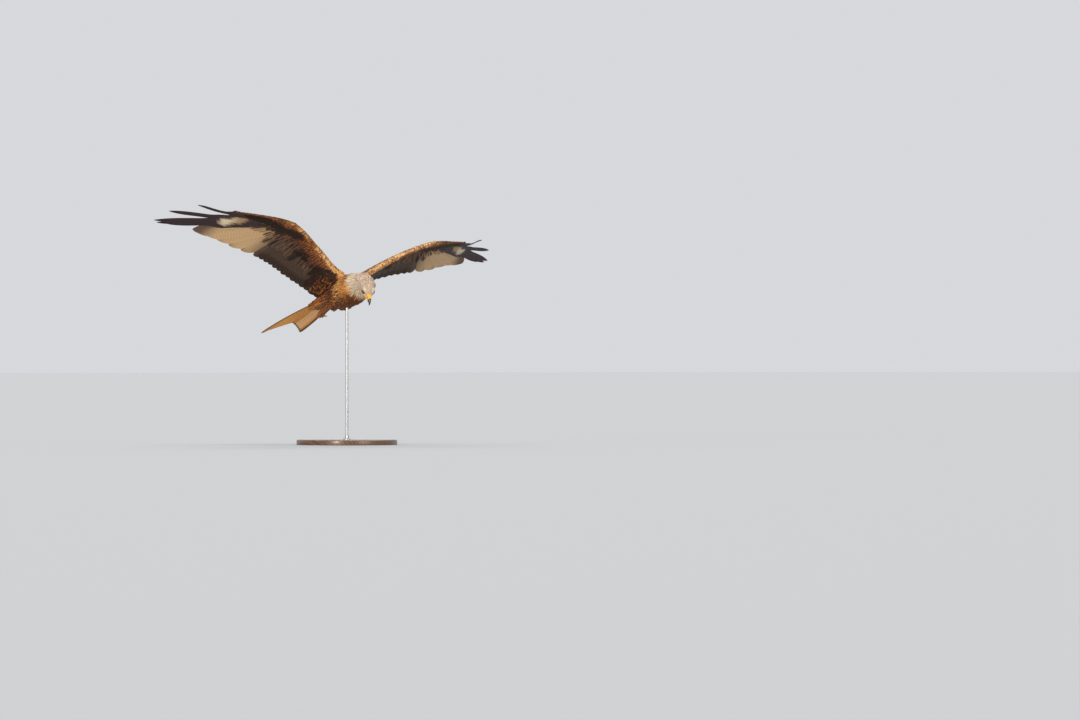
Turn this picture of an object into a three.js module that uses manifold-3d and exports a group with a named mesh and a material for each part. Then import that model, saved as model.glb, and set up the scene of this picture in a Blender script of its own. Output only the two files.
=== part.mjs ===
// A red kite in a gliding pose, life size, on a plain display stand.
//
// The bird is drawn in its own axes, in millimetres: x to its right, y forward and z up, with
// the origin midway between the two wing roots. One group then pitches and banks the whole bird
// and sets it on the stand, whose underside is the floor at z = 0.

import * as THREE from 'three';
import { mergeVertices } from 'three/addons/utils/BufferGeometryUtils.js';
import Module from 'manifold-3d';

const wasm = await Module();
wasm.setup();

// Driving dimensions of the pose
const PITCH = THREE.MathUtils.degToRad(19.7); // nose up
const BANK = THREE.MathUtils.degToRad(5.8); // right wing up
const WING_LINE_HEIGHT = 648; // of the point between the wing roots, above the floor
const WING_LINE_OFFSET = new THREE.Vector2(5, -49); // so that the weight is over the rod

// Driving dimensions of the wing, from the body's middle plane outwards
const ROOT = { out: 60, forward: -6 };
const WRIST = { out: 300, forward: 133 };
const HAND_END = { out: 480, forward: 13 };
const HALF_SPAN = 716;
const FINGER_SWEEP = 0.62; // how fast the front edge falls back beyond the hand
const FINGER_LIFT = 7; // rise of the longest fingertips over the wing's surface
const WING_ROOT_HEIGHT = 1.5;
const DIHEDRAL = 0.505; // rise for each millimetre outwards, at the root
const ARCH = 0.00019; // how fast the rise falls off
const TWIST = { root: 0.01, gain: 0.34, span: 640, power: 1.6 }; // slope down to the hind edge
const CAMBER = 14;
const WRIST_ROUND = { depth: 15, reach: 80 }; // how much of the wrist's corner is rounded off
const COVERT_CHORD = 0.42; // share of the chord that the thick, covered part takes
const ARM_THICKNESS = { root: 31, wrist: 17, end: 7 };
const VANE = 1; // thickness of the flight feathers
const VANE_LAYER = 1.3; // from one finger feather to the next
const GAP = 0.3; // between touching pieces

// How far each wing rises over the shape that both share: its arm, its hand, and its front edge
// over its hind edge
const WING_SET = {
  right: { arm: 5, hand: -1, twist: 16 },
  left: { arm: 10, hand: -9, twist: -2 },
};
const ARM_ARCH_RUN = 250;

// Driving dimensions of the head and the tail
const HEAD_AT = new THREE.Vector3(7, 100, -106);
const HEAD_DOWN = THREE.MathUtils.degToRad(-70); // against the body's own axis
const HEAD_TILT = THREE.MathUtils.degToRad(1);
const HEAD_TURN = THREE.MathUtils.degToRad(-8.5);
const TAIL = {
  root: -240, height: -22, middle: 273, outer: 350, roll: 0.085, droop: 0.14, rise: 0.025,
};
const TAIL_HALF_WIDTHS = [36, 57, 74, 86, 93, 97]; // from the root to the tips
const TAIL_LEFT_SHARE = 0.8; // the left half is less spread
const LEFT_FOOT_TUCK = { up: 33, inward: 5 }; // the left foot is sunk in the belly feathers

// Driving dimensions of the stand
const BASE_RADIUS = 190;
const BASE_HEIGHT = 20;
const BASE_BEVEL = { foot: 2, top: 4 };
const ROD_RADIUS = 5;
const ROD_TOP = WING_LINE_HEIGHT - 60; // inside the breast, which is cut out of the rod

const COLOURS = {
  trunk: 0x8a5229,
  neck: 0xb07a3c,
  head: 0xb9b2a8,
  cere: 0xe0b030,
  bill: 0x23252b,
  eye: 0x3a2c12,
  arm: 0x8c4f26,
  hand: 0x35261c,
  secondaries: 0x41342a,
  primaries: 0xb8a284,
  fingers: 0x2b2322,
  tail: 0xb96f33,
  thigh: 0x9c5c2a,
  foot: 0xd9ab33,
  claw: 0x1d1b1c,
  base: 0x6b5440,
  rod: 0x9a9ca0,
};

// Shape helpers

function finish(name, roughness = 0.8, metalness = 0) {
  return new THREE.MeshStandardMaterial({ color: COLOURS[name], roughness, metalness });
}

function mix(a, b, t) {
  return a + (b - a) * t;
}

function ease(from, to, value) {
  return THREE.MathUtils.smoothstep(value, from, to);
}

// A smooth value at t (0 to 1) along a short row of evenly spaced values
function along(row, t) {
  const place = THREE.MathUtils.clamp(t, 0, 1) * (row.length - 1);
  const i = Math.min(Math.floor(place), row.length - 2);
  const before = row[Math.max(i - 1, 0)];
  const after = row[Math.min(i + 2, row.length - 1)];
  const f = place - i;
  const slopeIn = (row[i + 1] - before) / 2;
  const slopeOut = (after - row[i]) / 2;
  const f2 = f * f;
  const f3 = f2 * f;
  return (2 * f3 - 3 * f2 + 1) * row[i] + (f3 - 2 * f2 + f) * slopeIn
    + (3 * f2 - 2 * f3) * row[i + 1] + (f3 - f2) * slopeOut;
}

// The height at x on a line of straight runs through [x, y] corners
function through(corners, x) {
  for (let i = 1; i < corners.length; i += 1) {
    const [x0, y0] = corners[i - 1];
    const [x1, y1] = corners[i];
    if (x <= x1 || i === corners.length - 1) {
      return mix(y0, y1, (x - x0) / (x1 - x0));
    }
  }
  return corners[0][1];
}

function weld(geometry) {
  const bare = geometry.index ? geometry.clone() : mergeVertices(geometry);
  bare.deleteAttribute('normal');
  bare.deleteAttribute('uv');
  return mergeVertices(bare, 1e-3);
}

// A block of unit cells bent into shape: place(u, v, w) takes three numbers from 0 to 1
function bent(uSteps, vSteps, place) {
  const box = new THREE.BoxGeometry(1, 1, 1, uSteps, vSteps, 1);
  const points = box.attributes.position;
  for (let i = 0; i < points.count; i += 1) {
    const p = place(points.getX(i) + 0.5, points.getY(i) + 0.5, points.getZ(i) + 0.5);
    points.setXYZ(i, p.x, p.y, p.z);
  }
  return weld(box);
}

// A rounded body drawn round a spine. Each station has its middle (x, y, z), its half width,
// and how far it reaches over and under the spine; the first and last have no width. A body
// that is to be cut out of another is grown by the gap between them.
function loft(stations, aroundSteps, alongSteps, grow = 0) {
  const ball = new THREE.SphereGeometry(1, aroundSteps, alongSteps);
  const points = ball.attributes.position;
  const uv = ball.attributes.uv;
  const row = (key) => stations.map((station) => station[key] ?? 0);
  const rows = { x: row('x'), y: row('y'), z: row('z') };
  const wide = row('wide');
  const over = row('over');
  const under = row('under');
  const middle = (t) => new THREE.Vector3(along(rows.x, t), along(rows.y, t), along(rows.z, t));
  for (let i = 0; i < points.count; i += 1) {
    const t = 1 - uv.getY(i);
    const angle = uv.getX(i) * 2 * Math.PI;
    const forward = middle(t + 0.01).sub(middle(t - 0.01)).normalize();
    const up = new THREE.Vector3(1, 0, 0).cross(forward).normalize();
    const side = forward.clone().cross(up);
    const tall = Math.sin(angle) > 0 ? along(over, t) : along(under, t);
    const isEnd = t < 1e-6 || t > 1 - 1e-6;
    const spread = isEnd ? 0 : Math.max(along(wide, t), 0.2) + grow;
    const rise = isEnd ? 0 : Math.max(tall, 0.2) + grow;
    const p = middle(t);
    p.addScaledVector(side, Math.cos(angle) * spread);
    p.addScaledVector(up, Math.sin(angle) * rise);
    p.addScaledVector(forward, (2 * t - 1) * grow);
    points.setXYZ(i, p.x, p.y, p.z);
  }
  return weld(ball);
}

function mirrored(geometry) {
  const other = geometry.clone();
  other.applyMatrix4(new THREE.Matrix4().makeScale(-1, 1, 1));
  const index = other.index.array;
  for (let i = 0; i < index.length; i += 3) {
    [index[i + 1], index[i + 2]] = [index[i + 2], index[i + 1]];
  }
  return other;
}

// Joining and cutting

function solid(geometry) {
  const whole = weld(geometry);
  return new wasm.Manifold(new wasm.Mesh({
    numProp: 3,
    vertProperties: new Float32Array(whole.attributes.position.array),
    triVerts: new Uint32Array(whole.index.array),
  }));
}

function geometryOf(body) {
  const { vertProperties, triVerts } = body.getMesh();
  const geometry = new THREE.BufferGeometry();
  geometry.setAttribute('position', new THREE.BufferAttribute(vertProperties, 3));
  geometry.setIndex(new THREE.BufferAttribute(triVerts, 1));
  return geometry;
}

function cut(geometry, ...tools) {
  return geometryOf(tools.reduce((body, tool) => body.subtract(solid(tool)), solid(geometry)));
}

function joined(...geometries) {
  return geometryOf(geometries.map(solid).reduce((body, next) => body.add(next)));
}

// The wing's surface: a height over the plan for each place (out, forward)

function leadingEdge(out) {
  if (out > HAND_END.out) {
    return HAND_END.forward - FINGER_SWEEP * (out - HAND_END.out);
  }
  const fromWrist = Math.abs(out - WRIST.out) / WRIST_ROUND.reach;
  const round = WRIST_ROUND.depth * Math.max(1 - fromWrist, 0) ** 2;
  if (out <= WRIST.out) {
    const share = Math.max((out - ROOT.out) / (WRIST.out - ROOT.out), 0);
    return ROOT.forward + (WRIST.forward - ROOT.forward) * share ** 1.3 - round;
  }
  const share = (out - WRIST.out) / (HAND_END.out - WRIST.out);
  return WRIST.forward - (WRIST.forward - HAND_END.forward) * share ** 1.15 - round;
}

const TRAILING_EDGE = [
  [20, -246], [70, -246], [150, -224], [200, -211], [250, -188], [300, -168],
  [345, -157], [425, -163], [520, -157], [588, -178],
];

function trailingEdge(out) {
  return through(TRAILING_EDGE, out);
}

// How far back a place lies between the front edge (0) and the hind edge (1)
function chordShare(out, forward) {
  const front = leadingEdge(out);
  const chord = front - trailingEdge(Math.min(out, HAND_END.out));
  return THREE.MathUtils.clamp((front - forward) / chord, 0, 1);
}

function wingHeight(out, forward) {
  const run = out - ROOT.out;
  const rise = WING_ROOT_HEIGHT + DIHEDRAL * run - ARCH * run * run;
  const twist = TWIST.root + TWIST.gain * (Math.max(run, 0) / TWIST.span) ** TWIST.power;
  const flat = ease(WRIST.out, HAND_END.out + 60, out);
  const bulge = CAMBER * (1 - flat) * Math.sin(Math.PI * chordShare(out, forward) ** 0.8);
  return rise + twist * (forward - leadingEdge(out)) + bulge;
}

// The rise of one wing over the shared shape, at a place over the plan
function ownRise({ arm, hand, twist }, out, forward) {
  const run = Math.max(out - ROOT.out, 0);
  const overArm = arm * Math.sin(Math.PI * Math.min(run / ARM_ARCH_RUN, 1));
  const overHand = hand * ease(WRIST.out - 20, WRIST.out + 100, out);
  const fade = ease(ROOT.out, 160, out) * (1 - ease(HAND_END.out, 580, out));
  return overArm + overHand + twist * (0.5 - chordShare(out, forward)) * fade;
}

// A piece of the wing, moved from the shared shape to one wing's own
function settled(geometry, set) {
  const own = geometry.clone();
  const points = own.attributes.position;
  for (let i = 0; i < points.count; i += 1) {
    points.setZ(i, points.getZ(i) + ownRise(set, points.getX(i), points.getY(i)));
  }
  return own;
}

function onWing(out, forward, lift) {
  return new THREE.Vector3(out, forward, wingHeight(out, forward) + lift);
}

// The thick front of the wing, as a wing section: blunt in front, thin behind
const THICKEST_AT = 0.22; // share of the section's chord
const THINNEST = 2.4;

function sectionThickness(share, most) {
  const front = Math.sqrt(Math.min(share / THICKEST_AT, 1));
  const back = 1 - 0.93 * ease(THICKEST_AT, 1, share);
  return Math.max(most * front * back, THINNEST);
}

function wingSection(out, back, share, upper, most, grow) {
  const forward = mix(leadingEdge(out) + grow, back - grow, share);
  const thickness = sectionThickness(share, most) + 2 * grow;
  return onWing(out, forward, upper ? 0.55 * thickness : -0.45 * thickness);
}

function armRear(out) {
  return mix(leadingEdge(out), trailingEdge(out), COVERT_CHORD);
}

function handRear(out) {
  const share = (out - WRIST.out) / (HAND_END.out - WRIST.out);
  return mix(armRear(WRIST.out), HAND_END.forward - 18, share);
}

function armShape(grow = 0) {
  return bent(11, 6, (u, v, w) => {
    const out = mix(20, WRIST.out - GAP, u);
    const most = mix(ARM_THICKNESS.root, ARM_THICKNESS.wrist, u);
    return wingSection(out, armRear(out), 1 - v, w > 0.5, most, grow);
  });
}

function handShape(grow = 0) {
  return bent(8, 5, (u, v, w) => {
    const out = mix(WRIST.out, HAND_END.out + grow, u);
    const most = mix(ARM_THICKNESS.wrist, ARM_THICKNESS.end, Math.sqrt(u));
    return wingSection(out, handRear(out), 1 - v, w > 0.5, most, grow);
  });
}

// A row of feathers side by side as one sheet with a scalloped hind edge
const SCALLOP = 5;

function featherSheet(feathers, inner, outer, steps) {
  return bent(feathers * 2, steps, (u, v, w) => {
    const base = inner.base + (outer.base - inner.base) * u;
    const tip = mix(inner.tip, outer.tip, u ** 1.15);
    const ripple = Math.abs(Math.sin(Math.PI * u * feathers));
    const hind = trailingEdge(tip) + SCALLOP * (0.8 - ripple);
    const front = (base < WRIST.out ? armRear(base) : handRear(base)) - GAP;
    const out = mix(base, tip, 1 - v);
    const forward = mix(front, hind, 1 - v);
    return onWing(out, forward, (w - 0.5) * VANE);
  });
}

// A single long primary whose vanes narrow where it stands free of its neighbour
const FINGERS = [
  { name: 'primary_6', base: [398, 8], tip: [664, -210], width: 31, free: 0.42, lift: 0 },
  { name: 'primary_7', base: [416, 4], tip: [703, -229], width: 33, free: 0.4, lift: 0 },
  { name: 'primary_8', base: [434, 0], tip: [716, -224], width: 33, free: 0.36, lift: 0 },
  { name: 'primary_9', base: [452, -2], tip: [686, -155], width: 29, free: 0.3, lift: 5 },
  { name: 'primary_10', base: [470, 12], tip: [608, -70], width: 20, free: 0.2, lift: 19 },
];

const QUILL_AT = 0.26; // share of a feather's width that lies in front of its quill

function fingerShape({ base, tip, width, free, lift }, layer) {
  const length = Math.hypot(tip[0] - base[0], tip[1] - base[1]);
  const aim = [(tip[0] - base[0]) / length, (tip[1] - base[1]) / length];
  return bent(9, 2, (u, v, w) => {
    const narrow = mix(1, 0.52, ease(free, free + 0.16, u));
    const point = Math.sqrt(Math.max(1 - Math.max((u - 0.8) / 0.2, 0) ** 2.2, 0.012));
    const across = width * narrow * point;
    const side = (v - 1 + QUILL_AT) * across;
    const sweep = 7 * Math.sin(Math.PI * u);
    const out = base[0] + aim[0] * u * length - aim[1] * (side + sweep);
    const forward = base[1] + aim[1] * u * length + aim[0] * (side + sweep);
    const ridge = v > 0.25 && v < 0.75 ? 0.4 : 0;
    const reach = Math.max((out - HAND_END.out) / (HALF_SPAN - HAND_END.out), 0);
    const rise = FINGER_LIFT * reach * reach + lift * ease(0.3, 1, u);
    const height = rise - (layer + 1.5) * VANE_LAYER;
    return onWing(out, forward, height + (w - 0.5) * (0.55 + ridge));
  });
}

// The body

const TRUNK = [
  { y: -326, z: -26 },
  { y: -308, z: -26, wide: 42, over: 8, under: 9 },
  { y: -262, z: -27, wide: 45, over: 21, under: 22 },
  { y: -212, z: -31, wide: 45, over: 30, under: 28 },
  { y: -160, z: -37, wide: 49, over: 40, under: 50 },
  { y: -104, z: -43, wide: 55, over: 49, under: 62 },
  { y: -50, z: -48, wide: 60, over: 55, under: 70 },
  { y: 0, z: -54, wide: 59, over: 54, under: 69 },
  { y: 36, z: -60, wide: 46, over: 42, under: 55 },
  { y: 56, z: -64 },
];

const NECK = [
  { x: 0, y: 0, z: -46 },
  { x: 0, y: 16, z: -47, wide: 46, over: 40, under: 42 },
  { x: 1, y: 46, z: -52, wide: 45, over: 36, under: 40 },
  { x: 2, y: 74, z: -62, wide: 41, over: 33, under: 34 },
  { x: 3, y: 92, z: -80, wide: 36, over: 30, under: 27 },
  { x: 3, y: 98, z: -96, wide: 30, over: 27, under: 20 },
  { x: 3, y: 100, z: -106 },
];

const SKULL = [
  { y: -38, z: 2 },
  { y: -33, z: 2, wide: 18, over: 14, under: 15 },
  { y: -21, z: 1, wide: 26, over: 23, under: 21 },
  { y: -7, z: 0, wide: 28, over: 26, under: 22 },
  { y: 8, z: 0, wide: 26.5, over: 24.5, under: 20 },
  { y: 20, z: -1, wide: 20, over: 19, under: 16.5 },
  { y: 29, z: -2.5, wide: 12.5, over: 13, under: 13.5 },
  { y: 33, z: -3, wide: 9, over: 10, under: 10 },
  { y: 35, z: -3 },
];

const CERE = [
  { y: 27, z: -1 },
  { y: 29, z: -1, wide: 9.5, over: 10, under: 7.5 },
  { y: 35, z: -2, wide: 8.6, over: 9.2, under: 7 },
  { y: 41, z: -3, wide: 7.4, over: 8.4, under: 6 },
  { y: 44, z: -3.5, wide: 6.6, over: 7.6, under: 5.4 },
  { y: 46, z: -3.8 },
];

const BILL_UPPER = [
  { y: 42, z: -3.2 },
  { y: 43.4, z: -3.2, wide: 6.2, over: 7.4, under: 5 },
  { y: 49, z: -4.6, wide: 5.3, over: 6.6, under: 4.6 },
  { y: 54.5, z: -8.2, wide: 4.2, over: 5.2, under: 4 },
  { y: 58, z: -13.6, wide: 2.7, over: 3, under: 2.8 },
  { y: 58.6, z: -18.4, wide: 1.3, over: 1.4, under: 1.4 },
  { y: 58.4, z: -21.6 },
];

const BILL_LOWER = [
  { y: 30, z: -12 },
  { y: 32, z: -12, wide: 7.2, over: 2.4, under: 3.4 },
  { y: 40, z: -12.2, wide: 6, over: 2.4, under: 3.4 },
  { y: 47, z: -12.6, wide: 4.6, over: 2.2, under: 3.2 },
  { y: 51, z: -12.4, wide: 2.6, over: 1.6, under: 2.2 },
  { y: 52.6, z: -12 },
];

const EYE = { out: 17.6, forward: 12.5, up: 3.4, radius: 8 };

// A leg tucked up under the vent: the feathered thigh, then the bare foot with its toes curled
const THIGH = [
  { x: 30, y: -84, z: -66 },
  { x: 31, y: -98, z: -70, wide: 20, over: 22, under: 21 },
  { x: 32, y: -130, z: -77, wide: 21, over: 22, under: 22 },
  { x: 30, y: -160, z: -76, wide: 16, over: 16, under: 15 },
  { x: 28, y: -188, z: -73, wide: 9, over: 9, under: 8 },
  { x: 27, y: -198, z: -72 },
];

const SHANK = [
  { x: 28, y: -180, z: -74 },
  { x: 28, y: -182, z: -74, wide: 4.4, over: 4.6, under: 4.6 },
  { x: 26, y: -205, z: -71, wide: 3.9, over: 4.2, under: 4.2 },
  { x: 25, y: -224, z: -69, wide: 4.8, over: 4.4, under: 4.4 },
  { x: 25, y: -229, z: -69 },
];

// Each toe curls from its start: it sets off at an angle below level and bends on as it goes
const TOE_RADIUS = 3.3;
const CLAW_LENGTH = 15;
const FRONT_TOE = { heads: -1, angle: 0.35, bend: 2.2, clawBend: 0.9 };
const HIND_TOE = { heads: 1, angle: 0.6, bend: 0.8, clawBend: 0.6 };
const TOES = [
  { ...FRONT_TOE, start: [23.5, -224, -69], spread: -10, length: 29 },
  { ...FRONT_TOE, start: [25, -226, -69], spread: 0, length: 34 },
  { ...FRONT_TOE, start: [27, -224, -69], spread: 10, length: 29 },
  { ...HIND_TOE, start: [26, -216, -70], spread: 5, length: 20 },
];

function toePoint({ heads, angle, bend, clawBend, start, spread, length }, run) {
  const inToe = Math.min(run, length);
  const inClaw = run - inToe;
  const toeCurl = bend / length;
  const clawCurl = clawBend / CLAW_LENGTH;
  const turn = angle + toeCurl * inToe;
  const end = turn + clawCurl * inClaw;
  const level = (Math.sin(turn) - Math.sin(angle)) / toeCurl + (Math.sin(end) - Math.sin(turn)) / clawCurl;
  const fall = (Math.cos(turn) - Math.cos(angle)) / toeCurl + (Math.cos(end) - Math.cos(turn)) / clawCurl;
  return { x: start[0] + (spread * run) / 34, y: start[1] + heads * level, z: start[2] + fall };
}

function taperedAlong(toe, runs, radiusAt, steps) {
  const stations = runs.map((run, i) => {
    const round = i === 0 || i === runs.length - 1 ? 0 : radiusAt(run);
    return { ...toePoint(toe, run), wide: round, over: round, under: round };
  });
  return loft(stations, 6, steps);
}

function toeShape(toe, grow) {
  const runs = [0, 0.08, 0.3, 0.55, 0.8, 0.93, 1].map((share) => share * toe.length);
  const radiusAt = (run) => TOE_RADIUS * mix(1, 0.8, run / toe.length) + grow;
  return taperedAlong(toe, runs, radiusAt, 6);
}

function clawShape(toe, grow = 0) {
  const runs = [0.3, 0.8, 4, 8, 12, CLAW_LENGTH].map((run) => toe.length + run);
  const radiusAt = (run) => mix(2.5, 0.5, (run - toe.length) / CLAW_LENGTH) + grow;
  return taperedAlong(toe, runs, radiusAt, 5);
}

function footShape(grow = 0) {
  return joined(loft(SHANK, 8, 5, grow), ...TOES.map((toe) => toeShape(toe, grow)));
}

// The left foot's place: the right foot's mirror image, drawn up and inwards
function tucked(geometry) {
  return mirrored(geometry).translate(LEFT_FOOT_TUCK.inward, 0, LEFT_FOOT_TUCK.up);
}

// One half of the forked tail, six feathers wide, for side 1 (right) or -1 (left)
function tailHalf(side) {
  const half = bent(12, 6, (u, v, w) => {
    const notches = 4 * Math.abs(Math.sin(Math.PI * u * 6));
    const length = mix(TAIL.middle, TAIL.outer, u ** 1.4) - notches;
    const back = (1 - v) * length;
    const halfWidth = along(TAIL_HALF_WIDTHS, back / TAIL.outer);
    const out = GAP / 2 + u * halfWidth * (side > 0 ? 1 : TAIL_LEFT_SHARE);
    const drop = (TAIL.roll * side + TAIL.droop) * out;
    const thickness = mix(1.2, 2.6, v ** 2);
    const height = TAIL.height + TAIL.rise * back - drop;
    return new THREE.Vector3(out, TAIL.root - back, height + w * thickness);
  });
  return side > 0 ? half : mirrored(half);
}

// The pieces, named for the right side; the left ones are their mirror images

const bird = new THREE.Group();
bird.name = 'bird';
bird.rotation.set(PITCH, -BANK, Math.PI, 'ZXY');
bird.position.set(WING_LINE_OFFSET.x, WING_LINE_OFFSET.y, WING_LINE_HEIGHT);

const headGroup = new THREE.Group();
headGroup.position.copy(HEAD_AT);
headGroup.rotation.set(HEAD_DOWN, HEAD_TILT, HEAD_TURN, 'ZXY');
bird.add(headGroup);

function add(parent, name, geometry, material) {
  const mesh = new THREE.Mesh(geometry, material);
  mesh.name = name;
  parent.add(mesh);
}

function addPair(name, geometry, material, ...rooms) {
  add(bird, `${name}_right`, cut(geometry, ...rooms), material);
  add(bird, `${name}_left`, cut(mirrored(geometry), ...rooms), material);
}

function addWingPair(name, geometry, material, ...rooms) {
  add(bird, `${name}_right`, cut(settled(geometry, WING_SET.right), ...rooms), material);
  add(bird, `${name}_left`, cut(mirrored(settled(geometry, WING_SET.left)), ...rooms), material);
}

function inHead(geometry) {
  headGroup.updateMatrix();
  return geometry.clone().applyMatrix4(headGroup.matrix);
}

function eyeBall(side, grow = 0) {
  const ball = new THREE.SphereGeometry(EYE.radius + grow, 12, 8);
  ball.translate(side * EYE.out, EYE.forward, EYE.up);
  return weld(ball);
}

function addHead() {
  const cere = cut(loft(CERE, 10, 6), loft(BILL_UPPER, 8, 9, GAP));
  const lower = cut(loft(BILL_LOWER, 8, 6), loft(CERE, 10, 6, GAP), loft(BILL_UPPER, 8, 9, GAP));
  const skull = cut(
    loft(SKULL, 16, 11),
    eyeBall(1, GAP),
    eyeBall(-1, GAP),
    loft(CERE, 10, 6, GAP),
    loft(BILL_LOWER, 8, 6, GAP),
  );
  add(headGroup, 'head', skull, finish('head'));
  add(headGroup, 'cere', cere, finish('cere', 0.45));
  add(headGroup, 'bill_upper', loft(BILL_UPPER, 8, 9), finish('bill', 0.3));
  add(headGroup, 'bill_lower', lower, finish('bill', 0.35));
  add(headGroup, 'eye_right', eyeBall(1), finish('eye', 0.1));
  add(headGroup, 'eye_left', eyeBall(-1), finish('eye', 0.1));
}

function addBody() {
  const trunkRoom = loft(TRUNK, 18, 14, GAP);
  const neck = cut(loft(NECK, 14, 9), trunkRoom, inHead(loft(SKULL, 16, 11, GAP)));
  const footRooms = [tucked(footShape(2 * GAP)), ...TOES.map((toe) => tucked(clawShape(toe, GAP)))];
  add(bird, 'trunk', cut(loft(TRUNK, 18, 14), ...footRooms), finish('trunk'));
  add(bird, 'neck', neck, finish('neck'));
}

function addWings() {
  const trunkRoom = loft(TRUNK, 18, 14, GAP);
  const neckRoom = loft(NECK, 14, 9, GAP);
  const handRoom = handShape(GAP);
  addWingPair('wing_arm', armShape(), finish('arm'), trunkRoom, neckRoom);
  addWingPair('wing_hand', handShape(), finish('hand'));
  const secondaries = featherSheet(
    14,
    { base: 20, tip: 20 },
    { base: WRIST.out - GAP, tip: 345 - GAP },
    3,
  );
  addWingPair('secondaries', secondaries, finish('secondaries'), trunkRoom);
  const inner = featherSheet(5, { base: WRIST.out, tip: 345 }, { base: 396, tip: 588 }, 6);
  addWingPair('primaries_inner', inner, finish('primaries'));
  FINGERS.forEach((finger, i) => {
    addWingPair(finger.name, cut(fingerShape(finger, i), handRoom), finish('fingers'));
  });
}

function addTail() {
  const trunkRoom = loft(TRUNK, 18, 14, GAP);
  add(bird, 'tail_right', cut(tailHalf(1), trunkRoom), finish('tail'));
  add(bird, 'tail_left', cut(tailHalf(-1), trunkRoom), finish('tail'));
}

function addLegs() {
  const trunkRoom = loft(TRUNK, 18, 14, GAP);
  const thighRoom = loft(THIGH, 10, 7, GAP);
  const footFinish = finish('foot', 0.55);
  const clawFinish = finish('claw', 0.3);
  addPair('thigh', loft(THIGH, 10, 7), finish('thigh'), trunkRoom);
  add(bird, 'foot_right', cut(footShape(), thighRoom, trunkRoom), footFinish);
  add(bird, 'foot_left', cut(tucked(footShape()), mirrored(thighRoom)), footFinish);
  TOES.forEach((toe, i) => {
    add(bird, `claw_${i + 1}_right`, clawShape(toe), clawFinish);
    add(bird, `claw_${i + 1}_left`, tucked(clawShape(toe)), clawFinish);
  });
}

// The stand: a round wooden base and one steel rod up to the breast

function addStand(parent) {
  const outline = [
    new THREE.Vector2(0, 0),
    new THREE.Vector2(BASE_RADIUS - BASE_BEVEL.foot, 0),
    new THREE.Vector2(BASE_RADIUS, BASE_BEVEL.foot),
    new THREE.Vector2(BASE_RADIUS, BASE_HEIGHT - BASE_BEVEL.top),
    new THREE.Vector2(BASE_RADIUS - BASE_BEVEL.top, BASE_HEIGHT),
    new THREE.Vector2(0, BASE_HEIGHT),
  ];
  const base = new THREE.LatheGeometry(outline, 32).rotateX(Math.PI / 2);
  const foot = BASE_HEIGHT + GAP;
  const rod = new THREE.CylinderGeometry(ROD_RADIUS, ROD_RADIUS, ROD_TOP - foot, 16);
  rod.rotateX(Math.PI / 2).translate(0, 0, (ROD_TOP + foot) / 2);
  bird.updateMatrix();
  const trunkRoom = loft(TRUNK, 18, 14, GAP).applyMatrix4(bird.matrix);
  add(parent, 'stand_base', weld(base), finish('base', 0.5));
  add(parent, 'stand_rod', cut(rod, trunkRoom), finish('rod', 0.35, 1));
}

const model = new THREE.Group();
model.name = 'red_kite';
addHead();
addBody();
addWings();
addTail();
addLegs();
addStand(model);
model.add(bird);

export default model;
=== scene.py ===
"""A life-size red kite in a glide, on a plain display stand.

The bird is drawn in its own axes, in millimetres: x to its right, y forward and z up, with the
origin midway between the wing roots. One turn and one shift place it on the stand, in metres.
Feathers are closed thin shells. Each is a tube of rings, flattened, along its shaft.
"""

import math
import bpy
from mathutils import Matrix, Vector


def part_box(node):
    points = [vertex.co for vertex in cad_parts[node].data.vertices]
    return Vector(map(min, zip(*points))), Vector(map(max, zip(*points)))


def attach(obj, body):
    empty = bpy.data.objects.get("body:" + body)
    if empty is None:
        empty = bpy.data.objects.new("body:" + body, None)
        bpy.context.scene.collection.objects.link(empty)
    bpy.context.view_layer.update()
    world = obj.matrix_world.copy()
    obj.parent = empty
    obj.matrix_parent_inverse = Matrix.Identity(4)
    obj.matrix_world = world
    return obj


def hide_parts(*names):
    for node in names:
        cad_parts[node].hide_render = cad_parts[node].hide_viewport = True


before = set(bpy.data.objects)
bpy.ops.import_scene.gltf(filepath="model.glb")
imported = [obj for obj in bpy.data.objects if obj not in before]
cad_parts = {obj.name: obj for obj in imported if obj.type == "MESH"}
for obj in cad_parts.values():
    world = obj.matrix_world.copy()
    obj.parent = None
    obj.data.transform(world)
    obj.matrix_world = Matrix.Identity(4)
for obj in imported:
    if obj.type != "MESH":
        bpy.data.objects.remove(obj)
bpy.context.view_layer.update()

from types import SimpleNamespace

import bmesh
import bpy
import numpy as np
from bpy.props import FloatProperty, FloatVectorProperty, IntProperty, PointerProperty
from bpy.types import Operator, Panel, PropertyGroup
from mathutils import Matrix, Vector
from mathutils.bvhtree import BVHTree

bl_info = {
    "name": "Red kite display model",
    "version": (1, 0, 0),
    "blender": (4, 5, 0),
    "location": "3D View > Sidebar > Red kite",
    "description": "Builds a life-size gliding red kite with its plumage, on a rod and a wooden base",
    "category": "Object",
}

# The pose: the bird's turn and place on the stand, and the head's on the neck
PITCH = math.radians(19.7)
BANK = math.radians(5.8)
WING_LINE_AT = np.array([5.0, -49.0, 648.0])
HEAD_DOWN = math.radians(-70)
HEAD_TILT = math.radians(1)
HEAD_SIDE = math.radians(-8.5)
HEAD_AT = np.array([7.0, 100.0, -106.0])

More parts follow.
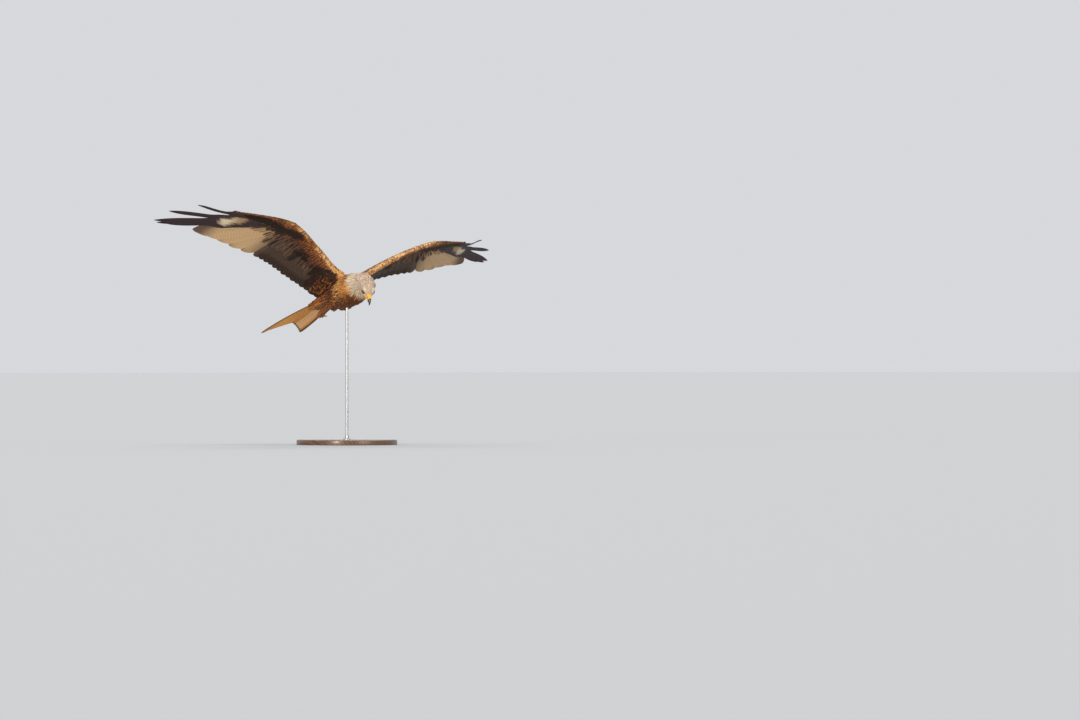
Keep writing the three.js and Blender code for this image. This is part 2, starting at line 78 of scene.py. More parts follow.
# The wing, from the body's middle plane outwards
ROOT_OUT, ROOT_FORWARD = 60, -6
WRIST_OUT, WRIST_FORWARD = 300, 133
HAND_OUT, HAND_FORWARD = 480, 13
HALF_SPAN = 716
FINGER_SWEEP = 0.62
FINGER_LIFT = 7
WING_ROOT_HEIGHT = 1.5
DIHEDRAL, ARCH = 0.505, 0.00019  # slope at the root, and how fast it falls off outwards
TWIST_ROOT, TWIST_GAIN, TWIST_SPAN, TWIST_POWER = 0.01, 0.34, 640, 1.6
CAMBER = 14
COVERT_CHORD = 0.42  # the thick, covered share of the arm's chord
THICK_ROOT, THICK_WRIST, THICK_END = 31, 17, 7
THICKEST_AT, THINNEST = 0.22, 2.4
WRIST_ROUND, WRIST_REACH = 15, 80  # how deep the wrist's corner is rounded off, and how far
ARM_ARCH_RUN = 250
WING_SET = {1: (5, -1, 16), -1: (10, -9, -2)}  # by side: rise of the arm, of the hand, of the front edge
VANE_LAYER = 1.3  # between the fingers where they overlap
TRAILING_END = -0.29  # slope of the rear edge past its last place
TRAILING_OUT = [20, 70, 150, 200, 250, 300, 345, 425, 520, 588]
TRAILING_FORWARD = [-246, -246, -224, -211, -188, -168, -157, -163, -157, -178]
QUILL_OUT = [30, 150, 250, 300, 340, 380, 430, 480]
QUILL_DEGREES = [0, 6, 15, 25, 40, 52, 58, 62]  # slant of the coverts, outwards of straight back

# The tail
TAIL_ROOT, TAIL_HEIGHT = -240, -22
TAIL_MIDDLE, TAIL_OUTER = 273, 350
TAIL_ROLL, TAIL_DROOP, TAIL_RISE = 0.085, 0.14, 0.025
TAIL_HALF_WIDTHS = [36, 57, 74, 86, 93, 97]
TAIL_LEFT_SHARE = 0.8
TAIL_FEATHERS = 6
TAIL_BURIED = 70  # length of a feather under the coverts, before the tail's root line
TAIL_TIP = 15  # by which the right half's outermost feather is drawn out to a point

# The eyes, in the head's axes
EYE_OUT, EYE_FORWARD, EYE_UP, EYE_RADIUS = 17.6, 12.5, 3.4, 8.0
EYE_AIM = (0.9, 0.42, 0.06)

# The feathers: the side of one's place on the OFBake map, the gap between its dark bars, and the seed
PATCH = 0.003
BAR_GAP = 11.0
SEED = 20

# The camera, where the photo was taken from
CAMERA_DISTANCE = 30.0
CAMERA_AZIMUTH = math.radians(-30.97)
PIXELS_PER_METRE = 265.5
PHOTO_SIZE = (1080, 720)
WING_LINE_PIXEL = (354.5, 273.0)
SENSOR = 36.0


# Numbers and shapes

def linear(code):
    """A colour in Blender's linear numbers, from its six-letter code."""
    parts = [int(code[i:i + 2], 16) / 255 for i in (0, 2, 4)]
    return tuple(c / 12.92 if c <= 0.04045 else ((c + 0.055) / 1.055) ** 2.4 for c in parts)


def ease(low, high, value):
    share = np.clip((np.asarray(value, float) - low) / (high - low), 0, 1)
    return share * share * (3 - 2 * share)


def mix(a, b, share):
    return a + (b - a) * share


def tint(a, b, share):
    """Colours between a and b, for any array of shares."""
    share = np.asarray(share, float)[..., None]
    return np.asarray(a, float) * (1 - share) + np.asarray(b, float) * share


def unit(vectors):
    return vectors / np.maximum(np.linalg.norm(vectors, axis=-1, keepdims=True), 1e-9)


def smooth_row(row, share):
    """A smooth value at share (0 to 1) along evenly spaced values."""
    row = np.asarray(row, float)
    place = np.clip(share, 0, 1) * (len(row) - 1)
    i = np.minimum(place.astype(int), len(row) - 2)
    before = row[np.maximum(i - 1, 0)]
    after = row[np.minimum(i + 2, len(row) - 1)]
    f = place - i
    slope_in = (row[i + 1] - before) / 2
    slope_out = (after - row[i]) / 2
    return ((2 * f**3 - 3 * f**2 + 1) * row[i] + (f**3 - 2 * f**2 + f) * slope_in
            + (3 * f**2 - 2 * f**3) * row[i + 1] + (f**3 - f**2) * slope_out)


def stacked(*values):
    """Numbers side by side in a last axis, each spread to the shape of the others."""
    return np.stack(np.broadcast_arrays(*values), -1)


def circle(steps):
    return np.linspace(0, 2 * math.pi, steps, endpoint=False)


def mirrored(points):
    """The same places with the left side folded onto the right."""
    return stacked(np.abs(points[..., 0]), points[..., 1], points[..., 2])


def gap_to_line(points, start, end):
    """How far each place is from the line between two ends."""
    start, reach = np.array(start, float), np.subtract(end, start, dtype=float)
    run = np.clip(((points - start) @ reach) / (reach @ reach), 0, 1)
    return np.linalg.norm(points - start - run[..., None] * reach, axis=-1)


def turn(pitch, roll, yaw):
    """The matrix that rolls about y, then pitches about x, then yaws about z."""
    about = Matrix.Rotation(yaw, 3, "Z") @ Matrix.Rotation(pitch, 3, "X") @ Matrix.Rotation(roll, 3, "Y")
    return np.array(about)


BIRD_TURN = turn(PITCH, -BANK, math.pi)
HEAD_TURN = turn(HEAD_DOWN, HEAD_TILT, HEAD_SIDE)


def to_world(points):
    return (points @ BIRD_TURN.T + WING_LINE_AT) / 1000


def to_bird(points):
    return (np.asarray(points) * 1000 - WING_LINE_AT) @ BIRD_TURN


def from_head(points):
    return points @ HEAD_TURN.T + HEAD_AT


def to_head(points):
    return (points - HEAD_AT) @ HEAD_TURN


def loft(stations, around, along):
    """Rings round a spine. A station is its middle (x, y, z), half width, and reach over and under."""
    t = np.linspace(0, 1, along)
    rows = np.array(stations, float).T
    middle = np.stack([smooth_row(row, t) for row in rows[:3]], -1)
    wide, over, under = (np.maximum(smooth_row(row, t), 0.12) for row in rows[3:])
    forward = unit(np.gradient(middle, axis=0))
    up = unit(np.cross([1.0, 0, 0], forward))
    side = np.cross(forward, up)
    angle = circle(around)
    tall = np.where(np.sin(angle) > 0, over[:, None], under[:, None])
    return (middle[:, None] + side[:, None] * (np.cos(angle) * wide[:, None])[..., None]
            + up[:, None] * (np.sin(angle) * tall)[..., None])


def tube_faces(stations, around):
    """The faces of one closed tube: its side, and an even cap at each end."""
    ring = np.arange(around)
    after = (ring + 1) % around
    rows = np.arange(stations - 1)[:, None] * around
    side = np.stack([rows + ring, rows + after, rows + around + after, rows + around + ring], -1)
    step = np.arange(around // 2 - 1)
    cap = np.stack([step, around - 1 - step, around - 2 - step, step + 1], -1)
    far = cap[:, ::-1] + (stations - 1) * around
    return np.concatenate([side.reshape(-1, 4), cap, far])


def tubes(rings):
    """Points and outward faces of many tubes. The rings are (tubes, stations, around, xyz)."""
    count, stations, around = rings.shape[:3]
    one = tube_faces(stations, around)
    points = rings.reshape(count, -1, 3)
    corner = points - points.mean(axis=1, keepdims=True)
    a, b, c, d = (corner[:, one[:, i]] for i in range(4))
    volume = (np.cross(a, b) * c).sum((1, 2)) + (np.cross(a, c) * d).sum((1, 2))
    faces = np.broadcast_to(one, (count, *one.shape)).copy()
    faces[volume < 0] = faces[volume < 0][:, :, ::-1]
    faces += (np.arange(count) * stations * around)[:, None, None]
    return points.reshape(-1, 3), faces.reshape(-1, 4)


# Mesh pieces

def mesh_from(name, points, faces):
    mesh = bpy.data.meshes.new(name)
    mesh.vertices.add(len(points))
    mesh.vertices.foreach_set("co", np.asarray(points, np.float32).ravel())
    mesh.loops.add(faces.size)
    mesh.loops.foreach_set("vertex_index", faces.astype(np.int32).ravel())
    mesh.polygons.add(len(faces))
    mesh.polygons.foreach_set("loop_start", np.arange(0, faces.size, faces.shape[1], dtype=np.int32))
    mesh.update(calc_edges=True)
    return mesh


def paint(mesh, name, values):
    """Stores one number, vector or colour for each point."""
    values = np.asarray(values, np.float32)
    if values.ndim == 1:
        mesh.attributes.new(name, "FLOAT", "POINT").data.foreach_set("value", values)
    elif name in ("Ground", "Mark"):
        full = np.concatenate([values, np.ones((len(values), 1), np.float32)], axis=1)
        mesh.attributes.new(name, "FLOAT_COLOR", "POINT").data.foreach_set("color", full.ravel())
    else:
        mesh.attributes.new(name, "FLOAT_VECTOR", "POINT").data.foreach_set("vector", values.ravel())


def unwrap(mesh, name, places):
    """A UV map from one place for each point."""
    corners = np.zeros(len(mesh.loops), np.int32)
    mesh.loops.foreach_get("vertex_index", corners)
    layer = mesh.uv_layers.new(name=name)
    layer.data.foreach_set("uv", np.asarray(places, np.float32)[corners].ravel())


def points_and_normals(mesh):
    """A mesh's points and their normals, in the bird's axes."""
    points, normals = np.zeros((2, len(mesh.vertices) * 3))
    mesh.vertices.foreach_get("co", points)
    mesh.vertex_normals.foreach_get("vector", normals)
    return to_bird(points.reshape(-1, 3)), normals.reshape(-1, 3) @ BIRD_TURN


def new_piece(name, mesh, material, sharp_above=50):
    mesh.shade_smooth()
    mesh.set_sharp_from_angle(angle=math.radians(sharp_above))
    mesh.materials.append(material)
    piece = bpy.data.objects.new(name, mesh)
    bpy.context.scene.collection.objects.link(piece)
    return piece


def hand_over(piece, nodes=()):
    """The piece rides on the still body, and the nodes it replaces are hidden."""
    if nodes:
        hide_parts(*nodes)
    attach(piece, "root")


def both(*names):
    return [f"{name}_{side}" for name in names for side in ("right", "left")]


# The wing's surface, over the plan (out, forward)

def leading_edge(out):
    arm = ROOT_FORWARD + (WRIST_FORWARD - ROOT_FORWARD) * (
        np.maximum(out - ROOT_OUT, 0) / (WRIST_OUT - ROOT_OUT)) ** 1.3
    share = np.clip((out - WRIST_OUT) / (HAND_OUT - WRIST_OUT), 0, None)
    hand = WRIST_FORWARD - (WRIST_FORWARD - HAND_FORWARD) * share ** 1.15
    rounded = WRIST_ROUND * np.maximum(1 - np.abs(out - WRIST_OUT) / WRIST_REACH, 0) ** 2
    tip = HAND_FORWARD - FINGER_SWEEP * (out - HAND_OUT)
    return np.where(out > HAND_OUT, tip, np.where(out <= WRIST_OUT, arm, hand) - rounded)


def trailing_edge(out):
    beyond = np.maximum(out - TRAILING_OUT[-1], 0) * TRAILING_END
    return np.interp(out, TRAILING_OUT, TRAILING_FORWARD) + beyond


def chord_share(out, forward):
    front = leading_edge(out)
    return np.clip((front - forward) / (front - trailing_edge(np.minimum(out, HAND_OUT))), 0, 1)


def wing_height(out, forward):
    run = out - ROOT_OUT
    rise = WING_ROOT_HEIGHT + DIHEDRAL * run - ARCH * run * run
    twist = TWIST_ROOT + TWIST_GAIN * (np.maximum(run, 0) / TWIST_SPAN) ** TWIST_POWER
    flat = ease(WRIST_OUT, HAND_OUT + 60, out)
    bulge = CAMBER * (1 - flat) * np.sin(math.pi * chord_share(out, forward) ** 0.8)
    return rise + twist * (forward - leading_edge(out)) + bulge


def own_rise(side, out, forward):
    """How far the right (1) or left (-1) wing rises over the shape that both share."""
    arm, hand, twist = WING_SET[side]
    over_arm = arm * np.sin(math.pi * np.clip((out - ROOT_OUT) / ARM_ARCH_RUN, 0, 1))
    over_hand = hand * ease(WRIST_OUT - 20, WRIST_OUT + 100, out)
    fade = ease(ROOT_OUT, 160, out) * (1 - ease(HAND_OUT, 580, out))
    return over_arm + over_hand + twist * (0.5 - chord_share(out, forward)) * fade


def on_side(rings, side):
    """Moves wing feathers from the shared shape to the right (1) or left (-1) wing."""
    moved = rings.copy()
    moved[..., 2] += own_rise(side, rings[..., 0], rings[..., 1])
    moved[..., 0] *= side
    return moved


def covered_rear(out):
    """Where the thick, covered front of the wing ends: on the arm, then on the hand."""
    arm = mix(leading_edge(out), trailing_edge(out), COVERT_CHORD)
    wrist = mix(leading_edge(WRIST_OUT), trailing_edge(WRIST_OUT), COVERT_CHORD)
    share = np.clip((out - WRIST_OUT) / (HAND_OUT - WRIST_OUT), 0, 1)
    return np.where(out <= WRIST_OUT, arm, mix(wrist, HAND_FORWARD - 18, share))


def wing_face(out, behind):
    """A place on the covered wing, behind its front edge by so much, which is below 0 on the underside."""
    out, behind = np.broadcast_arrays(out, behind)
    front = leading_edge(out)
    gap = np.abs(behind)
    share = gap / np.maximum(front - covered_rear(out), 12)
    arm = mix(THICK_ROOT, THICK_WRIST, np.clip(out / WRIST_OUT, 0, 1))
    hand_share = np.clip((out - WRIST_OUT) / (HAND_OUT - WRIST_OUT), 0, 1)
    most = np.where(out <= WRIST_OUT, arm, mix(THICK_WRIST, THICK_END, np.sqrt(hand_share)))
    thick = most * np.sqrt(np.clip(share / THICKEST_AT, 0, 1)) * (1 - 0.93 * ease(THICKEST_AT, 1, share))
    thick = np.maximum(thick, THINNEST * np.clip(gap, 0, 1))
    height = wing_height(out, front - gap) + np.where(behind > 0, 0.55, -0.45) * thick
    return stacked(out, front - gap, height)


def quill_angle(out):
    """How far a wing feather points outwards of straight back."""
    return np.radians(np.interp(out, QUILL_OUT, QUILL_DEGREES))


# Feather shapes

def plume_rings(middle, side, up, half_width, thickness, droop):
    """Rings of small feathers, four points each. The arrays are (feathers, stations, xyz)."""
    edge = side * half_width[..., None]
    fall = up * droop[..., None]
    ridge = up * (thickness * 0.6)
    belly = up * (thickness * -0.4)
    return np.stack([middle + edge - fall, middle + ridge, middle - edge - fall, middle + belly], 2)


def beside_line(middle, up):
    """The way to the side at each place along a feather's middle line, square to up."""
    return unit(np.cross(up, unit(np.gradient(middle, axis=1))))


def outline(steps, root, fullest, blunt):
    """Stations along a small feather, closer together at its tip, and its relative width at each."""
    stations = np.sin(np.linspace(0, math.pi / 2, steps))
    narrowing = np.clip((stations - fullest) / (1 - fullest), 0, 1)
    width = mix(root, 1.0, ease(0, fullest, stations)) * (1 - narrowing**1.6) ** blunt
    return stations, np.maximum(width, 0.07)


ROUNDED = outline(9, 0.2, 0.66, 0.5)
POINTED = outline(8, 0.2, 0.42, 0.95)
SHORT = outline(6, 0.3, 0.45, 0.7)


def feather_data(rings, ground, mark, style, bars):
    """Point colours and vane places of small feathers. ground, mark and style are (feathers, 3)."""
    stations, around = rings.shape[1:3]
    along = np.linspace(0, 1, stations)[:, None]
    across = np.array([1.0, 0, -1.0, 0])
    bar_count = np.asarray(bars, float)[:, None, None]
    each = stations * around
    return {
        "Ground": np.repeat(ground, each, axis=0),
        "Mark": np.repeat(mark, each, axis=0),
        "Style": np.repeat(style, each, axis=0),
        "Vane": stacked(along, across, bar_count).reshape(-1, 3),
    }


def coat_piece(name, batches, material):
    """One mesh of many small feathers. A batch is its rings, its data and its roots' unwrap places."""
    points, faces, places = [], [], []
    first = 0
    for rings, facts, roots in batches:
        own_points, own_faces = tubes(rings)
        points.append(own_points)
        faces.append(own_faces + first)
        first += len(own_points)
        each = rings.shape[1] * rings.shape[2]
        local = facts["Vane"][:, [1, 0]] * np.array([0.5, 1.0]) + np.array([0.5, 0])
        places.append(np.repeat(roots, each, axis=0) + PATCH * local)
    mesh = mesh_from(name, to_world(np.concatenate(points)), np.concatenate(faces))
    for key in batches[0][1]:
        paint(mesh, key, np.concatenate([facts[key] for _, facts, _ in batches]))
    unwrap(mesh, "OFBake", np.concatenate(places))
    return new_piece(name, mesh, material)


# Sizes and colours that a user would change

def swatch(name, description, code):
    return FloatVectorProperty(
        name=name, description=description, default=linear(code), subtype="COLOR", min=0, max=1)


class PlumageColours(PropertyGroup):
    gold: swatch("Gold", "Front edge of the wing and sides of the neck", "e6a85e")
    orange: swatch("Orange", "Breast, lesser underwing and thighs", "bb7433")
    rufous: swatch("Rufous", "Flanks and lesser wing feathers", "884e29")
    chestnut: swatch("Chestnut", "Belly", "5b3520")
    umber: swatch("Umber", "Feather centres, back and carpal patch", "2b1c15")
    black: swatch("Black", "Wingtip feathers", "1d181b")
    plum: swatch("Plum", "Underside of the wingtip feathers", "3a2c30")
    slate: swatch("Slate", "Secondaries", "43352c")
    ash: swatch("Ash", "Bars and greater underwing feathers", "7c6753")
    buff: swatch("Buff", "Underside of the inner primaries", "b9976e")
    window: swatch("Window", "Pale bases of the outer primaries", "dccbae")
    tail_top: swatch("Tail top", "Upper side of the tail", "a9542a")
    tail_under: swatch("Tail under", "Under side of the tail", "ea9f44")
    cream: swatch("Cream", "Pale stripe under the tail and pale feather edges", "efc897")
    crown: swatch("Crown", "Pale grey of the head", "dac5b3")
    throat: swatch("Throat", "Whitish throat and cheeks", "d6c8b0")
    streak: swatch("Head streak", "Dark shaft streaks of the head", "4f3a2c")


class BareColours(PropertyGroup):
    cere: swatch("Cere", "Bare yellow skin at the bill's base", "e6b02a")
    horn: swatch("Horn", "Bill's hook and claws", "22242a")
    iris: swatch("Iris", "Ring round the pupil", "8a5f1e")
    lid: swatch("Eyelid", "Bare rim round the eye", "3a3129")
    foot: swatch("Foot", "Scaled skin of the legs and toes", "967028")
    wood: swatch("Wood", "Base of the stand", "6a4a30")
    floor: swatch("Floor", "Floor under the stand", "bcbdbe")


class PlumageSizes(PropertyGroup):
    body_depth: FloatProperty(
        name="Body coat", description="Depth of the feather coat on the trunk, in millimetres",
        default=6, min=2, max=9)
    trunk_spacing: FloatProperty(
        name="Trunk spacing", description="Between feather roots on the trunk, in millimetres",
        default=8.4, min=5, max=14)
    neck_spacing: FloatProperty(
        name="Neck spacing", description="Between feather roots on the neck, in millimetres",
        default=4.3, min=3, max=9)
    head_spacing: FloatProperty(
        name="Head spacing", description="Between feather roots on the head, in millimetres",
        default=2.1, min=1.5, max=5)
    flight_stations: IntProperty(
        name="Flight feather steps", description="Steps along each flight feather",
        default=44, min=12, max=80)


# Materials

def wire(tree, kind, inputs=None, **settings):
    """Adds a node, sets it up and feeds its inputs with values or with other nodes' sockets."""
    node = tree.nodes.new(kind)
    for key, value in settings.items():
        setattr(node, key, value)
    for key, value in (inputs or {}).items():
        if isinstance(value, bpy.types.NodeSocket):
            tree.links.new(value, node.inputs[key])
        else:
            node.inputs[key].default_value = value
    return node


def sum_of(tree, kind, a, b=0.0, c=0.0):
    return wire(tree, "ShaderNodeMath", {0: a, 1: b, 2: c}, operation=kind).outputs[0]


def stretch(tree, value, low, high, to_low=0.0, to_high=1.0):
    return wire(tree, "ShaderNodeMapRange",
                {"Value": value, "From Min": low, "From Max": high, "To Min": to_low, "To Max": to_high},
                interpolation_type="SMOOTHSTEP").outputs[0]


def blend(tree, share, a, b, kind="MIX"):
    return wire(tree, "ShaderNodeMix", {0: share, 6: a, 7: b}, data_type="RGBA", blend_type=kind).outputs[2]


def object_place(tree):
    return wire(tree, "ShaderNodeTexCoord").outputs["Object"]


def noise(tree, place, scale, detail=2.0):
    return wire(tree, "ShaderNodeTexNoise", {"Vector": place, "Scale": scale, "Detail": detail}).outputs[0]


def carried(tree, name, kind="Fac"):
    """What each point carries under this name: its Fac, Color or Vector."""
    return wire(tree, "ShaderNodeAttribute", attribute_name=name).outputs[kind]


def new_group(name, inputs, outputs):
    """An empty shader group with named inputs and outputs, given as (name, kind, value)."""
    group = bpy.data.node_groups.new(name, "ShaderNodeTree")
    for label, kind, value in inputs:
        socket = group.interface.new_socket(name=label, in_out="INPUT", socket_type=kind)
        if value is not None:
            socket.default_value = value
    for label, kind in outputs:
        group.interface.new_socket(name=label, in_out="OUTPUT", socket_type=kind)
    return group, group.nodes.new("NodeGroupInput").outputs, group.nodes.new("NodeGroupOutput").inputs


STREAK_BLUR = 0.2  # half width of a shaft streak's soft edge, as a share of the half vane


def vane_group():
    """Markings and relief of a feather: shaft streak, bars, pale fringe, shaft line and barbs."""
    if "Vane markings" in bpy.data.node_groups:
        return bpy.data.node_groups["Vane markings"]
    group, given, made = new_group(
        "Vane markings",
        [("Ground", "NodeSocketColor", None), ("Mark", "NodeSocketColor", None),
         ("Style", "NodeSocketVector", None), ("Vane", "NodeSocketVector", None),
         ("Barbs", "NodeSocketFloat", 60.0), ("Grain", "NodeSocketFloat", 0.2)],
        [("Colour", "NodeSocketColor"), ("Relief", "NodeSocketFloat")])
    vane = wire(group, "ShaderNodeSeparateXYZ", {0: given["Vane"]}).outputs
    style = wire(group, "ShaderNodeSeparateXYZ", {0: given["Style"]}).outputs
    spot = object_place(group)
    fine = noise(group, spot, 420.0)
    broad = noise(group, spot, 45.0)
    across = sum_of(group, "ABSOLUTE", vane[1])
    ragged = sum_of(group, "MULTIPLY_ADD", fine, 0.4, sum_of(group, "SUBTRACT", across, 0.2))
    reach = sum_of(group, "MULTIPLY", style[0], stretch(group, vane[0], 0.55, 1.0, 1.0, 0.25))
    gone = sum_of(group, "SUBTRACT", reach, STREAK_BLUR)
    inside = wire(group, "ShaderNodeMapRange",
                  {"Value": ragged, "From Min": gone, "From Max": sum_of(group, "ADD", reach, STREAK_BLUR),
                   "To Min": 1.0, "To Max": 0.0}, interpolation_type="SMOOTHSTEP").outputs[0]
    streak = sum_of(group, "MULTIPLY", inside, stretch(group, style[0], 0.0, 0.1))
    slant = sum_of(group, "MULTIPLY_ADD", across, 0.35, sum_of(group, "MULTIPLY", vane[0], vane[2]))
    wobble = sum_of(group, "MULTIPLY_ADD", broad, 0.5, slant)
    wave = sum_of(group, "SINE", sum_of(group, "MULTIPLY", wobble, 2 * math.pi))
    bars = sum_of(group, "MULTIPLY", stretch(group, wave, 0.1, 0.8), style[1])
    rim = sum_of(group, "MAXIMUM", across, stretch(group, vane[0], 0.8, 1.0))
    fringe = sum_of(group, "MULTIPLY", stretch(group, rim, 0.62, 0.95), style[2])
    shaft = stretch(group, across, 0.0, 0.09, 0.35, 0.0)
    colour = blend(group, streak, given["Ground"], given["Mark"])
    colour = blend(group, bars, colour, given["Mark"])
    pale = blend(group, 1.0, given["Ground"], (1.7, 1.6, 1.5, 1.0), "MULTIPLY")
    colour = blend(group, fringe, colour, pale)
    colour = blend(group, shaft, colour, given["Mark"])
    shade = stretch(group, fine, 0.3, 0.7, 1.0, 0.0)
    shade = sum_of(group, "MULTIPLY", shade, given["Grain"])
    colour = blend(group, shade, colour, (0.25, 0.22, 0.2, 1.0), "MULTIPLY")
    lines = sum_of(group, "MULTIPLY_ADD", vane[0], vane[2], sum_of(group, "MULTIPLY", across, 1.2))
    barbs = sum_of(group, "SINE", sum_of(group, "MULTIPLY", lines, given["Barbs"]))
    group.links.new(colour, made["Colour"])
    group.links.new(sum_of(group, "MULTIPLY_ADD", barbs, 0.5, fine), made["Relief"])
    return group


def new_material(name, roughness, specular=0.4, **constants):
    """A material with its shader's constants set, as (material, tree, shader inputs)."""
    material = bpy.data.materials.new(name)
    material.use_nodes = True
    tree = material.node_tree
    shader = tree.nodes["Principled BSDF"].inputs
    shader["Roughness"].default_value = roughness
    shader["Specular IOR Level"].default_value = specular
    for key, value in constants.items():
        shader[key.replace("_", " ")].default_value = value
    return material, tree, shader


def relief(tree, shader, height, distance, strength=0.5):
    bump = wire(tree, "ShaderNodeBump", {"Height": height, "Distance": distance, "Strength": strength})
    tree.links.new(bump.outputs[0], shader["Normal"])


def feather_material(name, roughness, barbs, grain, distance):
    """Feathers, coloured by the colours and the vane places that each point carries."""
    if name in bpy.data.materials:
        return bpy.data.materials[name]
    material, tree, shader = new_material(name, roughness, 0.12, Sheen_Weight=0.02, Sheen_Roughness=0.4)
    group = wire(tree, "ShaderNodeGroup", node_tree=vane_group())
    for key, kind in (("Ground", "Color"), ("Mark", "Color"), ("Style", "Vector"), ("Vane", "Vector")):
        tree.links.new(carried(tree, key, kind), group.inputs[key])
    group.inputs["Barbs"].default_value = barbs
    group.inputs["Grain"].default_value = grain
    tree.links.new(group.outputs["Colour"], shader["Base Color"])
    relief(tree, shader, group.outputs["Relief"], distance)
    return material


def coat_material():
    return feather_material("Contour feathers", 0.72, 70, 0.2, 0.0003)


def skin_material():
    """Down and skin under the feathers, in the coat's own colours."""
    material, tree, shader = new_material("Skin and down", 0.8, 0.2)
    down = noise(tree, object_place(tree), 260.0, 4.0)
    dim = stretch(tree, down, 0.25, 0.75, 0.55, 0.05)
    colour = blend(tree, dim, carried(tree, "Ground", "Color"), (0.3, 0.25, 0.2, 1.0), "MULTIPLY")
    tree.links.new(colour, shader["Base Color"])
    relief(tree, shader, down, 0.001)
    return material


# Markings

def colours_of(context):
    """The colours of the plumage, the bare parts and the stand, as arrays by name."""
    groups = ((context.scene.kite_plumage, PlumageColours), (context.scene.kite_bare, BareColours))
    return SimpleNamespace(**{key: np.array(getattr(group, key))
                              for group, kind in groups for key in kind.__annotations__})


def near(points, place, reach):
    """1 at a place, falling to 0 at the reach."""
    gap = np.linalg.norm((points - np.array(place, float)) / np.array(reach, float), axis=-1)
    return 1 - ease(0.45, 1.0, gap)


def near_line(points, ends, reach):
    """1 along a line between two ends, falling to 0 at the reach."""
    return 1 - ease(0.45, 1.0, gap_to_line(points, *ends) / reach)


def cloud(points, size):
    """Smooth, irregular values from -1 to 1 that change over about so many millimetres."""
    waves = 0
    for way in ((0.9, 0.3, 0.5), (-0.4, 0.8, 0.6), (0.3, -0.7, 0.9), (-0.8, -0.5, 0.4)):
        bent = points @ np.roll(way, 1) * 4.1 / size
        waves = waves + np.sin(points @ np.array(way) * 2 * math.pi / size + 1.5 * np.sin(bent))
    return np.clip(waves / 2.4, -1, 1)


# Markings under the wing, over its plan (out, forward): the white patch's ends, and places with reaches
WINDOW = ((456, -8), (510, -68))
# The golden shoulder by the body, where painted sunlight brightens the feathers.
SUNLIT_SHOULDER = ((54, -24), (44, 46))
WRIST_PATCHES = (((350, 44), (120, 42)), ((268, 52), (56, 44)), ((425, 28), (80, 28)))
DARK_SPOT = ((182, -66), (44, 44))
# Painted shade in the crease where the wing's underside meets the body.
SHADED_ARMPIT = ((94, -96), (46, 60))


def head_share(points):
    """1 on the pale head and nape, 0 behind their ragged edge on the neck."""
    edge = points[:, 1] + 5 * cloud(points, 19)
    low = np.maximum(ease(-113, -104, points[:, 2]), ease(38, 50, points[:, 1]))
    return ease(26, 38, edge) * low


def face_share(points):
    """1 where the feathers are short, on the head itself."""
    head = to_head(points)
    return ease(-32, -18, head[:, 1]) * (1 - ease(40, 50, np.hypot(head[:, 0], head[:, 2])))


def head_colours(points, head, c):
    """The ground colours of the pale head and nape, and where the pale brow is."""
    pale = tint(c.throat, c.crown, ease(-16, 6, head[:, 2] + 5 * cloud(points, 9)))
    warm = 0.5 * ease(-0.2, 0.8, cloud(points, 11)) * ease(-4, 10, head[:, 2])
    pale = tint(pale, tint(c.crown, c.orange, 0.35), warm)
    pale = tint(pale, tint(c.crown, c.gold, 0.3), 0.8 * (1 - ease(24, 52, points[:, 1])))
    cheek = mirrored(head)
    brow = near(cheek, (17, 18, 15), (11, 17, 9))
    pale = tint(pale, c.throat * 1.12, 0.8 * brow)
    pale = tint(pale, c.cream, 0.55 * near(cheek, (12, 28, 2), (9, 9, 10)))
    round_eye = near(cheek * [0, 1, 1], (0, EYE_FORWARD + 2, EYE_UP), (1, 12.5, 7.5))
    round_eye = round_eye * ease(8, 13, cheek[:, 0])
    return tint(pale, c.streak, 0.85 * round_eye * (head[:, 2] < 9)), brow


